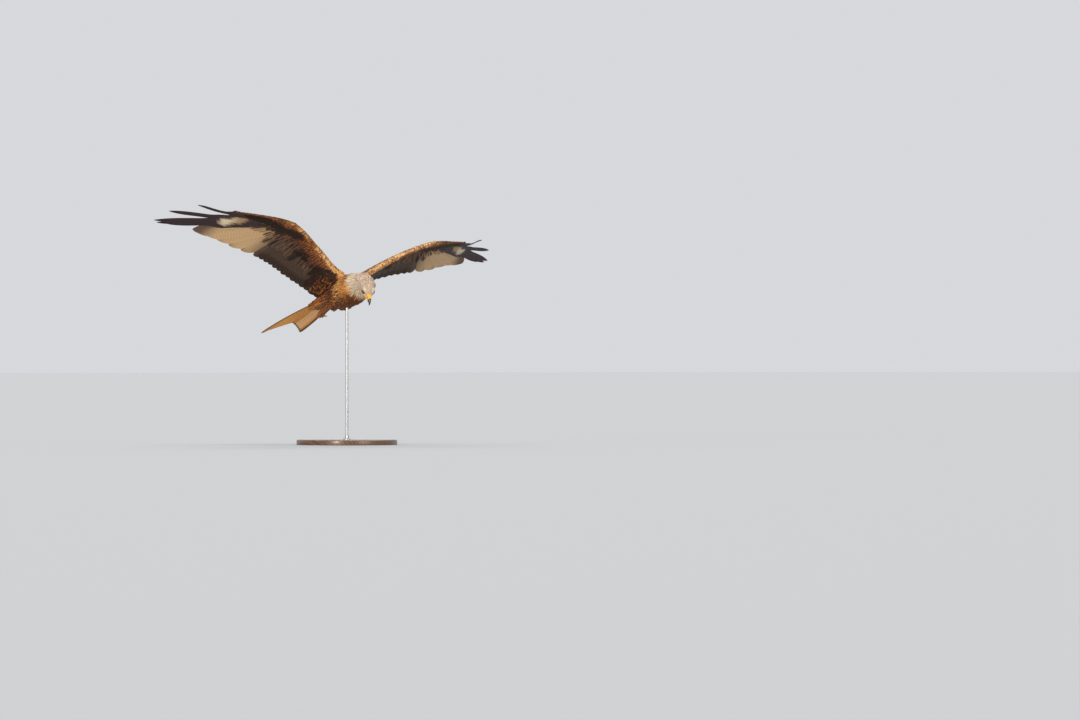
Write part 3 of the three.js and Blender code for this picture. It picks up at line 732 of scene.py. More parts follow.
def body_marks(points, normals, c, rng):
    """Ground, mark and style of the feathers of the head, neck, trunk and thighs."""
    count = len(points)
    y, z = points[:, 1], points[:, 2]
    beside = mirrored(points)
    head = to_head(points)
    on_head = head_share(points)
    patchy = cloud(points, 34)
    back = ease(-0.1, 0.45, normals[:, 2]) * (1 - on_head)
    front = ease(-95, -10, y + 14 * patchy)
    high = ease(-104, -66, z + 9 * cloud(points, 27))
    vent = 1 - ease(-215, -150, y)
    # The shoulder's feathers are golden; painted sunlight brightens them further and thins their streaks.
    sunlit_shoulder = near(beside, (52, -26, -22), (34, 46, 40))
    # Where painted shade falls: on the flank under the wing root, and on the bottom of the belly.
    shaded_flank = near(beside, (53, -97, -60), (24, 34, 34))
    belly = near(beside, (34, -55, -98), (34, 40, 22))
    ground = tint(c.chestnut, c.rufous, 0.5 + 0.4 * patchy)
    ground = tint(ground, tint(c.rufous, c.orange, 0.4), 0.6 * (1 - front) * (1 - vent))
    ground = tint(ground, tint(c.orange, c.gold, 0.65 + 0.3 * patchy), front * high * 0.95)
    ground = tint(ground, tint(c.rufous, c.orange, 0.3), vent * 0.9)
    ground = tint(ground, tint(c.gold, c.cream, 0.2), sunlit_shoulder)
    ground = tint(ground, tint(c.rufous, c.umber, 0.3), back * (1 - 0.7 * front))
    # Painted shade: umber darkens the flank under the wing root and the bottom of the belly.
    ground = tint(ground, c.umber, 0.6 * np.maximum(shaded_flank, 0.8 * belly))
    pale, brow = head_colours(points, head, c)
    ground = tint(ground, pale, on_head)
    mark = tint(c.umber, c.chestnut, 0.3 * front * high + 0.5 * vent)
    mark = tint(mark, c.streak, on_head)
    streak = 0.30 + 0.22 * back - 0.16 * vent * (1 - back) + 0.1 * patchy
    streak = streak - 0.06 * front * high - 0.1 * sunlit_shoulder
    crown_streak = 0.13 + 0.13 * ease(-12, 8, head[:, 2]) * (1 - brow) - 0.1 * ease(14, 26, head[:, 1])
    streak = mix(streak, crown_streak, on_head)
    streak = np.clip(streak + rng.uniform(-0.09, 0.09, count), 0.03, 0.9)
    light = rng.uniform(0.78, 1.2, (count, 1))
    fringe = mix(0.35 + 0.25 * back, 0.25, on_head)
    return ground * light, mark, stacked(streak, 0, fringe)


def upper_covert_marks(behind, row, patchy, hand, front, c, rng):
    """Ground, mark, streak and fringe on top of the wing: brown rows, with a pale band along the middle."""
    longest = (row == 0).astype(float)
    edge = 1 - ease(8, 30, behind + 5 * patchy)
    pale_band = 0.7 * (row == 2) + 0.35 * (row == 1) + 0.2 * (row == 3)
    ground = tint(c.rufous, c.umber, 0.5 + 0.2 * patchy)
    ground = tint(ground, tint(c.ash, c.cream, 0.3), pale_band)
    ground = tint(ground, tint(c.slate, c.umber, 0.4), 0.85 * longest)
    front = tint(front, tint(c.umber, c.rufous, 0.7), 0.8 * (rng.random(len(row)) < 0.4))
    ground = tint(ground, front, 0.9 * edge * (1 - 0.8 * hand))
    ground = tint(ground, tint(c.umber, c.slate, 0.4), hand * (1 - 0.1 * edge) * 0.88)
    mark = tint(c.umber, c.rufous, 0.5 * edge)
    streak = 0.5 - 0.36 * edge - 0.34 * (row == 2) - 0.1 * (row == 1)
    return ground, mark, streak, 0.6 - 0.4 * longest - 0.2 * (row == 2)


def lower_covert_marks(out, behind, row, patchy, hand, front, c, rng):
    """Ground, mark, streak and fringe under the wing: rufous rows, a golden front edge, a golden shoulder
    brightened by painted sunlight, dark patches, and painted shade in the armpit.
    """
    longest = (row == 0).astype(float)
    plan = stacked(out, leading_edge(out) - behind)
    near_front = (1 - ease(24, 70, behind - 9 * patchy)) * (1 - 0.75 * hand)
    greyed = 0.9 * longest + (0.35 + 0.4 * ease(110, 190, out)) * (row == 1)
    greyed = greyed + 0.35 * ease(130, 200, out) * (row == 2)
    edge = 1 - ease(0.2, 1, (behind + 4 * patchy) / (15 + 20 * (1 - ease(90, 230, out))))
    sunlit_shoulder = near(plan, *SUNLIT_SHOULDER)
    wrist = np.max([near(plan, *patch) for patch in WRIST_PATCHES], axis=0)
    wrist = wrist * ease(5, 14, behind) * (1 - longest)
    # The carpal patches and the dark spot are plumage; the armpit's share of this darkening is painted
    # shade.
    dark = np.clip(1.25 * (wrist + near(plan, *DARK_SPOT) + 0.75 * near(plan, *SHADED_ARMPIT)), 0, 1)
    ground = tint(c.rufous, c.umber, np.clip(0.35 + 0.35 * patchy, 0, 1))
    ground = tint(ground, tint(c.rufous, c.orange, 0.6 + 0.3 * patchy), 0.85 * near_front)
    ground = tint(ground, tint(c.ash, c.slate, 0.72), greyed)
    ground = tint(ground, tint(c.buff, c.ash, 0.5), hand * (longest + 0.35 * (row == 1)) * 0.9)
    front = tint(front, tint(c.umber, c.rufous, 0.6), 0.85 * (rng.random(len(row)) < 0.22))
    ground = tint(ground, front, edge * (1 - 0.8 * hand))
    # Golden shoulder feathers, brightened further by painted sunlight, with thinner streaks.
    ground = tint(ground, tint(c.gold, c.cream, 0.2), sunlit_shoulder)
    ground = tint(ground, c.buff, 0.7 * near_line(plan, WINDOW, 15) * hand)
    ground = tint(ground, c.umber * 0.4, dark * 0.95)
    mark = tint(c.umber, c.rufous, 0.6 * edge)
    streak = 0.32 - 0.14 * longest + 0.1 * patchy - 0.22 * edge - 0.12 * sunlit_shoulder
    return ground, mark, streak, (0.4 + 0.3 * longest) * (1 - 0.9 * dark)


def covert_marks(out, behind, row, upper, c, rng):
    """Ground, mark and style of the wing's covering feathers, from their way behind the front edge."""
    count = len(out)
    place = stacked(out, behind, 0)
    patchy = cloud(place, 42)
    hand = ease(WRIST_OUT - 20, WRIST_OUT + 40, out)
    front = tint(c.gold, c.cream, np.clip(0.4 + 0.5 * cloud(place, 16), 0, 1))
    if upper:
        ground, mark, streak, fringe = upper_covert_marks(behind, row, patchy, hand, front, c, rng)
    else:
        ground, mark, streak, fringe = lower_covert_marks(out, behind, row, patchy, hand, front, c, rng)
    streak = np.clip(streak + rng.uniform(-0.14, 0.14, count), 0.05, 0.9)
    return ground * rng.uniform(0.76, 1.22, (count, 1)), mark, stacked(streak, 0, fringe)


def finger_marks(order, plan, along, outer, c):
    """Colours above and below an outer primary, and its bars: black, with a white window below."""
    tip = ease(0.86, 1.0, along)
    window = ease(0.0, 0.8, near_line(plan + 3 * np.sin(plan[..., ::-1] / 6), WINDOW, 19))
    window = window * (1 - 0.4 * outer) * (order < 10)
    whitish = tint(tint(c.buff, c.ash, 0.4), c.window, ease(462, 496, plan[..., 0]))
    below = tint(tint(c.plum, c.black, 0.25 + 0.6 * tip), whitish, 0.85 * window)
    above = tint(c.black, c.slate, 0.3 * (1 - ease(0.3, 0.6, along)))
    return above, below, 0.15 * (1 - ease(0.4, 0.6, along))


def inner_marks(order, pale, along, across, outer, under, c):
    """Colours and bars of an inner primary: buff below, with a dark end on the one by the fingers."""
    last = order == len(INNER_TIPS)
    dark = ease(0.58, 0.92, along + 0.15 * across) * last + 0.5 * ease(0.84, 1.0, along + 0.05 * across)
    dark = np.clip(dark + 0.5 * outer * ease(0.35, 0.6, along) * last + 0.16 * outer, 0, 1)
    below = tint(tint(c.slate, c.ash, 0.3), tint(c.buff, c.window, 0.12), pale)
    below = tint(below, tint(c.plum, c.ash, 0.15), dark * 0.9)
    above = tint(c.slate, c.black, 0.5 + 0.3 * outer)
    return above, below, (0.26 + 0.1 * (1 - pale)) * under * (1 - dark) + 0.26 * (1 - under)


def secondary_marks(pale, along, outer, under, c):
    """Colours and bars of a secondary: dark and barred, and paler below next to the primaries."""
    below = tint(tint(c.slate, c.umber, 0.3), c.umber, 0.55 * ease(0.7, 0.9, along))
    below = tint(below, tint(c.buff, c.ash, 0.5), 0.6 * pale)
    above = tint(c.slate, c.umber, 0.2 + 0.55 * outer)
    return above, below, (0.3 + 0.02 * under) * (1 - ease(0.7, 0.85, along))


def flight_marks(kind, order, rings, along, across, under, c):
    """Ground, mark and style over one flight feather. The arrays are (stations, around)."""
    outer = ease(-0.05, 0.2, across)
    plan = rings[..., :2] * [np.sign(rings[0, 0, 0]), 1]
    pale = ease(300, 385, plan[..., 0] + 0.22 * plan[..., 1] + 22)
    if kind == "finger":
        above, below, bars = finger_marks(order, plan, along, outer, c)
    elif kind == "inner":
        above, below, bars = inner_marks(order, pale, along, across, outer, under, c)
    else:
        above, below, bars = secondary_marks(pale, along, outer, under, c)
    dark_bars = tint(c.black, tint(c.ash, c.umber, 0.5), under)
    light_bars = tint(c.umber, c.ash, under)
    mark = tint(light_bars, dark_bars, ease(0.3, 0.5, pale) if kind == "secondary" else 1.0)
    return tint(above, below, under), mark, stacked(0, bars, 0.45 - 0.37 * under)


# Flight feathers

ACROSS = np.array([1.0, 0.66, 0.3, 0.0, -0.3, -0.66, -1.0])
FINGERS = [  # order, base, tip, width, free from, lift, as the outer primaries stand
    (6, (398, 8), (664, -210), 33, 0.42, 0),
    (7, (416, 4), (703, -229), 36, 0.40, 0),
    (8, (434, 0), (716, -224), 37, 0.36, 0),
    (9, (452, -2), (686, -155), 33, 0.30, 5),
    (10, (470, 12), (608, -70), 24, 0.20, 19),
]
INNER_TIPS = [(391, -159), (440, -162), (490, -160), (539, -165), (580, -178)]
INNER_ROOTS = ((309, 40), (346, 46))
SECONDARIES = 14
INNER_VANE, SECONDARY_VANE = (18, 39), (13, 27)  # width before and behind the shaft
BURIED, BURIED_OUTER = 95.0, 80.0  # length of a finger's root under the coverts, and of the two outermost


def blade_steps(stations):
    """Shares of a flight feather's length, closer together at its tip."""
    even = np.linspace(0, 1, stations)
    return mix(even, np.sin(even * math.pi / 2), 0.8)


def vane_section(lead, trail, tilt, camber, thickness):
    """Sideways offsets and heights of a ring: the top from front to back, then the under side."""
    side = np.where(ACROSS > 0, ACROSS * lead[:, None], ACROSS * trail[:, None])
    shaft = 0.5 * (ACROSS == 0)
    rise = tilt * ACROSS + camber * (1 - ACROSS**2)
    thin = thickness * (0.35 + 0.65 * (1 - np.abs(ACROSS)))
    top = np.broadcast_to(rise + thin / 2 + shaft, side.shape)
    low = np.broadcast_to(rise - thin / 2 - shaft, side.shape)
    return np.concatenate([side, side[:, ::-1]], 1), np.concatenate([top, low[:, ::-1]], 1)


def worn_edge(along, length, order):
    """A small, steady waviness of a vane's edge, so that no two feathers have the same outline."""
    run = along * length
    return 1 + 0.012 * np.sin(run / 17 + 2.1 * order) + 0.012 * np.sin(run / 4.1 + order)


def wing_blade(root, tip, lead, trail, tilt, lift, stations, order, sweep=7, tip_from=0.86, blunt=0.5):
    """One flight feather on the wing, as rings (stations, around, xyz)."""
    along = blade_steps(stations)
    reach = np.array(tip, float) - root
    length = np.hypot(*reach)
    aim = reach / length
    beside = np.array([-aim[1], aim[0]])
    bare = 0.12 + 0.88 * ease(0.0, 0.14, along)
    point = np.clip(1 - (np.maximum(along - tip_from, 0) / (1.002 - tip_from)) ** 2.1, 0.004, 1) ** blunt
    worn = worn_edge(along, length, order)
    side, rise = vane_section(lead * bare * point * worn, trail * bare * point * worn, tilt, 0.5, 0.6)
    middle = np.array(root) + along[:, None] * reach + (sweep * np.sin(math.pi * along))[:, None] * beside
    out = middle[:, :1] + beside[0] * side
    forward = middle[:, 1:] + beside[1] * side
    return stacked(out, forward, wing_height(out, forward) + rise + lift[:, None]), length


def finger_blade(order, base, tip, width, free, lift, stations):
    base, tip = np.array(base, float), np.array(tip, float)
    whole = np.hypot(*(tip - base))
    buried = BURIED if order < 9 else BURIED_OUTER
    root = base - (tip - base) / whole * buried
    along = blade_steps(stations)
    share = (along * (whole + buried) - buried) / whole
    narrow = mix(1, 0.52, ease(free, free + 0.16, share))
    out = mix(root[0], tip[0], along)
    spread = np.clip((out - HAND_OUT) / (HALF_SPAN - HAND_OUT), 0, None)
    layer = (order - 6 + 1.5) * VANE_LAYER
    height = FINGER_LIFT * spread**2 + lift * ease(0.3, 1, share) - layer * ease(-0.3, 0.1, share)
    return wing_blade(root, tip, 0.26 * width * narrow, 0.74 * width * narrow, 0.3, height,
                      stations, order, sweep=7, tip_from=0.78, blunt=0.8)


def wing_blades(stations):
    """Every flight feather of one wing, as (kind, order, rings, length)."""
    flat = np.ones(stations)
    blades = []
    for order, base, tip, width, free, lift in FINGERS:
        blades.append(("finger", order, *finger_blade(order, base, tip, width, free, lift, stations)))
    for i, tip in enumerate(INNER_TIPS):
        share = i / (len(INNER_TIPS) - 1)
        root = mix(np.array(INNER_ROOTS[0], float), np.array(INNER_ROOTS[1], float), share)
        rings, length = wing_blade(root, tip, *np.outer(INNER_VANE, flat), 1.0, 0 * flat, stations, i + 1,
                                   sweep=5, tip_from=0.78, blunt=0.75)
        blades.append(("inner", i + 1, rings, length))
    for i in range(SECONDARIES):
        share = (i + 0.5) / SECONDARIES
        base_out = mix(WRIST_OUT - 4, 36, share)
        tip_out = mix(352, 34, share**0.95)
        root = (base_out, float(covered_rear(base_out)) + 22)
        tip = (tip_out, float(trailing_edge(tip_out)) + 2 * (i % 2))
        rings, length = wing_blade(root, tip, *np.outer(SECONDARY_VANE, flat), 0.9, 0 * flat, stations,
                                   20 + i, sweep=-3, tip_from=0.82, blunt=0.6)
        blades.append(("secondary", i + 1, rings, length))
    return blades


ISLAND_COLUMNS = 3


def blade_piece(name, blades, material, side, marks, c):
    """A row of flight feathers as one mesh. Each side of each has its own island in OFBake."""
    rings = np.stack([blade[2] for blade in blades])
    rings = on_side(rings, side) if side else rings
    points, faces = tubes(rings)
    along, across, under = np.broadcast_arrays(
        blade_steps(rings.shape[1])[:, None], [*ACROSS, *ACROSS[::-1]], np.repeat([0.0, 1.0], len(ACROSS)))
    facts = {"Ground": [], "Mark": [], "Style": [], "Vane": []}
    places = []
    rows = math.ceil(2 * len(blades) / ISLAND_COLUMNS)
    for i, (kind, order, _, length) in enumerate(blades):
        vane = stacked(along, across, length / BAR_GAP)
        own = (*marks(kind, order, rings[i], along, across, under, c), vane)
        for key, values in zip(facts, own):
            facts[key].append(values.reshape(-1, 3))
        island = 2 * i + under.astype(int)
        corner = stacked(island % ISLAND_COLUMNS / ISLAND_COLUMNS, island // ISLAND_COLUMNS / rows)
        local = stacked((0.02 + 0.96 * along) / ISLAND_COLUMNS, (0.5 + 0.44 * across) / rows)
        places.append((corner + local).reshape(-1, 2))
    mesh = mesh_from(name, to_world(points), faces)
    for key, values in facts.items():
        paint(mesh, key, np.concatenate(values))
    unwrap(mesh, "OFBake", np.concatenate(places))
    return new_piece(name, mesh, material, 40)


class KITE_OT_flight_feathers(Operator):
    """Makes the ten primaries and fourteen secondaries of each wing"""

    bl_idname = "kite.flight_feathers"
    bl_label = "Flight feathers"

    def execute(self, context):
        c = colours_of(context)
        material = feather_material("Flight feathers", 0.58, 80, 0.12, 0.0002)
        blades = wing_blades(context.scene.kite_sizes.flight_stations)
        for name, side in (("right", 1), ("left", -1)):
            piece = blade_piece(f"flight_feathers_{name}", blades, material, side, flight_marks, c)
            nodes = [f"primary_{i}_{name}" for i in range(6, 11)]
            hand_over(piece, [*nodes, f"primaries_inner_{name}", f"secondaries_{name}"])
        return {"FINISHED"}


# Wing coverts

ARM_ROWS = [  # root's share of the covered chord (below 0 under the nose), length, half width, spacing
    (0.94, 74, 12.5, 15), (0.72, 56, 11, 13), (0.54, 44, 9, 11), (0.40, 36, 8, 10), (0.29, 31, 7, 9),
    (0.20, 26, 6.2, 8), (0.13, 22, 5.4, 7), (0.07, 18, 4.8, 6), (0.03, 15, 4.2, 5.5), (0.006, 13, 3.8, 5),
    (-0.01, 12, 3.6, 5),
]
HAND_ROWS = [
    (0.86, 58, 9, 10), (0.62, 50, 9, 9.5), (0.44, 42, 8, 9), (0.32, 36, 7, 8), (0.20, 28, 6, 7),
    (0.11, 21, 5, 6), (0.04, 16, 4.2, 5.5), (0.006, 13, 3.6, 5), (-0.012, 12, 3.4, 5),
]
ARM_SPAN = (44, 304)
HAND_SPAN = (298, 486)
ALULA = [(318, 14, 62), (321, 20, 78), (324, 27, 92), (327, 35, 100)]  # out, behind the front edge, length
SECTION = np.linspace(-0.4, 1.5, 96)  # places round the wing's section, as roots of their share of the chord
ROOT_FEATHERS = [(1, 150, 80), (-1, 96, 88)]  # above or below the wing, count, length


def wing_unwrap(out, across):
    """Places on an unwrap of the covered wing, its upper face above its lower one."""
    return stacked(0.02 + 0.95 * out / 500, across)


def face_across(behind, way):
    return 0.5 + way * (0.03 + 0.42 * np.abs(behind) / 140)


def laid_on_wing(out, behind, angle, length, half_width, way, outline, rise):
    """Rings of feathers laid back over the wing's face from their roots. way is 1 above, -1 below."""
    stations, widths = outline
    chord = np.maximum(leading_edge(out) - covered_rear(out), 12)
    table = way * np.sign(SECTION) * SECTION**2 * chord[:, None]
    section = wing_face(out[:, None], table)
    arc = np.cumsum(np.linalg.norm(np.diff(section, axis=1, prepend=section[:, :1]), axis=2), axis=1)
    slope = (leading_edge(out + 1) - leading_edge(out - 1)) / 2
    advance = np.cos(angle) + np.sin(angle) * slope
    run = length[:, None] * stations
    place = np.empty_like(run)
    for i in range(len(out)):
        start = np.interp(way * behind[i], way * table[i], arc[i])
        place[i] = np.interp(start + advance[i] * run[i], arc[i], table[i])
    beyond = out[:, None] + np.sin(angle)[:, None] * run
    middle = wing_face(beyond, place)
    along_out = wing_face(beyond + 1, place) - middle
    normal = unit(np.cross(wing_face(beyond, place + 0.3 * way) - middle, along_out)) * way
    lift = rise[0] + (rise[1] - rise[0]) * stations**1.3
    middle = middle + normal * lift[:, None]
    width = half_width[:, None] * widths
    droop = 0.13 * width * (1 - 0.5 * stations)
    return plume_rings(middle, beside_line(middle, normal), normal, width, 0.5, droop)


def covert_batch(rows, span, on_hand, way, c, rng):
    """All covering feathers of one face of the arm or of the hand, on the shared wing shape."""
    parts = []
    for row, (share, length, half, spacing) in enumerate(rows):
        if share < 0 and way < 0:
            continue
        count = int((span[1] - span[0]) / spacing)
        out = np.linspace(*span, count) + rng.uniform(-0.22, 0.22, count) * spacing
        chord = np.maximum(leading_edge(out) - covered_rear(out), 12)
        size = 0.35 + 0.65 * ease(15, 110, chord) if on_hand else np.ones(count)
        size = size * rng.uniform(0.86, 1.12, count)
        shift = rng.uniform(-0.3, 0.3, count) * np.minimum(share, 0.06)
        behind = way * chord * (share + shift)
        angle = quill_angle(out) + rng.uniform(-0.1, 0.1, count) * (1 + 1.5 * (share < 0.2))
        parts.append(stacked(out, behind, angle, length * size, half * size**0.7, row))
    out, behind, angle, length, half, row = np.concatenate(parts).T
    rings = laid_on_wing(out, behind, angle, length, half, way, ROUNDED, (0.25, 1.6))
    marks = covert_marks(out, np.abs(behind) + length * 0.55, row, way > 0, c, rng)
    facts = feather_data(rings, *marks, length / BAR_GAP)
    return rings, facts, wing_unwrap(out, face_across(behind, way))


def alula_batch(c):
    """The four stiff feathers of the thumb, on the wing's upper front edge."""
    out, behind, length = np.array(ALULA, float).T
    count = len(ALULA)
    angle = np.radians([66, 63, 60, 57])
    rings = laid_on_wing(out, behind, angle, length, np.full(count, 9.0), 1, ROUNDED, (1.2, 3.0))
    dark = np.tile(c.umber, (count, 1))
    facts = feather_data(rings, dark, dark * 0.6, np.tile([0.3, 0, 0.3], (count, 1)), np.full(count, 6.0))
    return rings, facts, wing_unwrap(out, 0.99)


def root_batch(c, rng, way, count, reach):
    """Long feathers over the wing's root: scapulars above (way 1), axillaries below (way -1)."""
    above = way > 0
    out = rng.uniform(30 if above else 42, 86, count)
    behind = way * rng.uniform(4, 140, count)
    angle = rng.uniform(-0.15, 0.3, count)
    length = reach * rng.uniform(0.75, 1.15, count)
    rings = laid_on_wing(out, behind, angle, length, np.full(count, 10.5), way, ROUNDED, (1.0, 4.0))
    dark = np.full(count, 0.5) if above else 0.95 * ease(46, 66, out + rng.uniform(-8, 8, count))
    ground = tint(tint(c.rufous, c.orange, 0.1 if above else 0.3), c.umber * 0.8, dark)
    ground = ground * rng.uniform(0.75, 1.2, (count, 1))
    style = stacked(rng.uniform(0.25, 0.5, count), 0, 0.5 - 0.4 * dark)
    facts = feather_data(rings, ground, np.tile(c.umber, (count, 1)), style, length / BAR_GAP)
    return rings, facts, wing_unwrap(out, face_across(behind, way))


class KITE_OT_wing_coverts(Operator):
    """Lays the covering feathers on both sides of each wing, and the thumb feathers"""

    bl_idname = "kite.wing_coverts"
    bl_label = "Wing coverts"

    def execute(self, context):
        c = colours_of(context)
        rng = np.random.default_rng(SEED)
        batches = [covert_batch(rows, span, on_hand, way, c, rng) for way in (1, -1)
                   for rows, span, on_hand in ((ARM_ROWS, ARM_SPAN, False), (HAND_ROWS, HAND_SPAN, True))]
        batches.append(alula_batch(c))
        batches += [root_batch(c, rng, way, count, reach) for way, count, reach in ROOT_FEATHERS]
        for name, side in (("right", 1), ("left", -1)):
            own = [(on_side(rings, side), facts, roots) for rings, facts, roots in batches]
            hand_over(coat_piece(f"wing_coverts_{name}", own, coat_material()))
        return {"FINISHED"}


# Tail

TAIL_COVERTS = 150  # on each face
RUMP_OUT, RUMP_HALF_WIDTH = 36, 46  # to the outermost root, and to the rump's edge
RUMP_BACK = [-80, -30, 20, 70, 130]
RUMP_RISE = {1: [35, 27, 15, 6.5, 3.5], -1: [34, 27, 16, 7, 3.5]}  # over and under the tail's plane


def tail_place(out, back, side, lift):
    drop = (TAIL_ROLL * side + TAIL_DROOP) * out
    return stacked(out, TAIL_ROOT - back, TAIL_HEIGHT + TAIL_RISE * back - drop + lift)


def tail_blade(order, side, stations):
    """One tail feather of one half, from 0 in the middle to 5 outermost."""
    along = blade_steps(stations)
    share = (order + 0.5) / TAIL_FEATHERS
    narrow = 1 if side > 0 else TAIL_LEFT_SHARE
    length = mix(TAIL_MIDDLE, TAIL_OUTER, ((order + 0.75) / TAIL_FEATHERS) ** 1.4)
    longest = order == TAIL_FEATHERS - 1 and side > 0
    length += TAIL_TIP if longest else 0
    back = mix(-TAIL_BURIED, length, along)
    half_width = smooth_row(TAIL_HALF_WIDTHS, np.maximum(back, 0) / TAIL_OUTER) * ease(-180, 30, back)
    middle = half_width * share * narrow
    lead = np.full(stations, 9.0) if order < 5 else half_width * narrow * (1 - share)
    trail = np.full(stations, 21.0) if order else np.full(stations, 15.0)
    lead = np.minimum(lead, 3 + 0.12 * (back + TAIL_BURIED)) * narrow
    trail = np.minimum(trail, 6 + 0.2 * (back + TAIL_BURIED)) * narrow
    tip_from = 0.78 if longest else 0.93
    point = np.sqrt(np.clip(1 - (np.maximum(along - tip_from, 0) / (1.0002 - tip_from)) ** 2.2, 0.004, 1))
    worn = worn_edge(along, length, order + 40)
    edge_side, rise = vane_section(lead * point * worn, trail * point * worn, 0.8, 0.4, 0.6)
    out = middle[:, None] + edge_side
    cut_back = 26 * np.maximum(-edge_side / 40, 0) * ease(0.8, 1, along)[:, None]
    lift = 1.4 - 0.45 * order + rise + (0.5 if side > 0 else -0.3)
    rings = tail_place(out, back[:, None] - cut_back, side, lift) * np.array([side, 1, 1])
    return rings, length + TAIL_BURIED


def tail_marks(_kind, order, rings, along, across, under, c):
    """Ground, mark and style over one tail feather: orange below, rufous above, with a dark outer edge."""
    left = float(rings[..., 0].mean() < 0)
    tip = ease(0.93, 0.99, along)
    outer = ease(-0.2 - 0.6 * left, 0.25 - 0.4 * left, across) * (order == TAIL_FEATHERS - 1)
    stripe = left * (2 <= order <= 4) * ease(0.2, 0.4, along)
    below = tint(c.tail_under, c.orange, 0.35 * ease(-1, 1, np.sin(along * 9 + order)))
    below = tint(below, c.cream, 0.65 * stripe)
    above = tint(c.tail_top, c.umber, 0.35 * ease(-0.3, 0.5, across) + 0.3 * ease(0.85, 0.97, along))
    ground = tint(above, below, under)
    ground = tint(ground, c.umber, np.clip((0.3 + 0.6 * left) * tip + 0.9 * outer, 0, 1))
    mark = tint(c.chestnut, c.rufous, np.full(along.shape, 0.4))
    return ground, mark, stacked(0, 0.45 - 0.33 * under, 0.25)


def tail_covert_batch(c, rng, way, count):
    """Long coverts from the rump (way 1) or the vent (way -1) over the tail's root."""
    above = way > 0
    side = rng.choice([-1.0, 1.0], count)
    out = rng.uniform(0, RUMP_OUT, count)
    start = rng.uniform(-96, 14, count)
    length = mix(66, 52, out / RUMP_OUT) * rng.uniform(0.8, 1.15, count) + 0.35 * np.maximum(start + 40, 0)
    stations, widths = ROUNDED
    back = start[:, None] + length[:, None] * stations
    drawn_in = mix(1.0, 0.75, stations) * (1 + 0.2 * ease(-60, 20, back))
    rounding = np.sqrt(np.clip(1 - (out[:, None] / RUMP_HALF_WIDTH) ** 2, 0.1, 1))
    body = np.interp(back, RUMP_BACK, RUMP_RISE[way]) * mix(rounding, 1, ease(0, 90, back))
    lift = way * (body - 0.6 + 3.0 * stations + rng.uniform(-0.3, 0.3, (count, 1)))
    middle = tail_place(side[:, None] * out[:, None] * drawn_in, back, side[:, None], lift)
    lean = TAIL_ROLL * side + TAIL_DROOP + way * 0.7 * side * out / RUMP_HALF_WIDTH
    up = way * unit(stacked(lean, 0, 1))[:, None]
    up = np.broadcast_to(up, middle.shape)
    width = (10.0 * rng.uniform(0.8, 1.1, count))[:, None] * widths
    rings = plume_rings(middle, beside_line(middle, up), up, width, 0.5, 0.2 * width)
    plain = tint(c.tail_top, c.umber, 0.2) if above else tint(c.orange, c.gold, 0.3)
    ground = np.tile(plain, (count, 1))
    if above:
        ground = tint(ground, tint(c.rufous, c.umber, 0.5), 1 - ease(-80, -30, start))
    streak = rng.uniform(0.1, 0.35 if above else 0.2, count)
    light = rng.uniform(0.8, 1.15, (count, 1))
    facts = feather_data(rings, ground * light, ground * 0.35, stacked(streak, 0, 0.5), length / BAR_GAP)
    return rings, facts, stacked(0.5 + side * out / 90, 0.5 + way * (0.05 + 0.4 * (start + 80) / 90))


class KITE_OT_tail(Operator):
    """Makes the twelve feathers of the forked tail, and the coverts over its root"""

    bl_idname = "kite.tail"
    bl_label = "Tail feathers"

    def execute(self, context):
        c = colours_of(context)
        material = feather_material("Tail feathers", 0.58, 80, 0.12, 0.0002)
        stations = context.scene.kite_sizes.flight_stations
        for name, side in (("right", 1), ("left", -1)):
            blades = [("tail", i, *tail_blade(i, side, stations)) for i in range(TAIL_FEATHERS)]
            piece = blade_piece(f"tail_feathers_{name}", blades, material, 0, tail_marks, c)
            hand_over(piece, [f"tail_{name}"])
        rng = np.random.default_rng(SEED + 3)
        batches = [tail_covert_batch(c, rng, way, TAIL_COVERTS) for way in (1, -1)]
        hand_over(coat_piece("tail_coverts", batches, coat_material()))
        return {"FINISHED"}


# Skin

SKIN_NODES = ["trunk", "neck", "head", *both("thigh", "wing_arm", "wing_hand")]
NODE_GROWTH = 0.0003  # by which each node grows, so that neighbours touch
VOXEL = 0.003
THIGH_SPINE = ((30, -90, -68), (27, -198, -72))


def wing_share(points):
    """1 on the wings, 0 on the body."""
    out = np.abs(points[:, 0])
    own = np.where(points[:, 0] > 0, own_rise(1, out, points[:, 1]), own_rise(-1, out, points[:, 1]))
    off = points[:, 2] - own - wing_height(out, points[:, 1])
    above = ease(-24, -17, off)
    beside = ease(40, 56, out)
    behind = ease(-135, -115, points[:, 1])
    return np.maximum(above * beside * behind, ease(62, 68, out))


def coat_depth(points, body_depth):
    """How deep the skin lies under the feathers' tips: less on the face, the tail's end and the wings."""
    depth = mix(body_depth, 1.4, face_share(points))
    depth = mix(depth, 3.0, 1 - ease(-300, -250, points[:, 1]))
    return mix(depth, 0.5, wing_share(points))


def grown_copy(name, target):
    """Adds one node to target, merged and a little larger, so that neighbours run together."""
    own = bmesh.new()
    own.from_mesh(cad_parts[name].data)
    bmesh.ops.remove_doubles(own, verts=own.verts, dist=1e-5)
    own.normal_update()
    for vertex in own.verts:
        vertex.co += vertex.normal * NODE_GROWTH
    copy = bpy.data.meshes.new(name)
    own.to_mesh(copy)
    own.free()
    target.from_mesh(copy)
    bpy.data.meshes.remove(copy)


def brow_rise(points):
    """How far the skin stands up over the eyes, and sinks between eye and bill, in millimetres."""
    beside = mirrored(to_head(points))
    round_eye = near(beside, (20, EYE_FORWARD, EYE_UP), (14, 12, 10))
    brow = near(beside, (19, 15, 13.0), (11, 17, 8))
    lore = near(beside, (15, 25, 3), (6, 6, 6))
    return 3.8 * brow + 1.2 * round_eye - 1.6 * lore


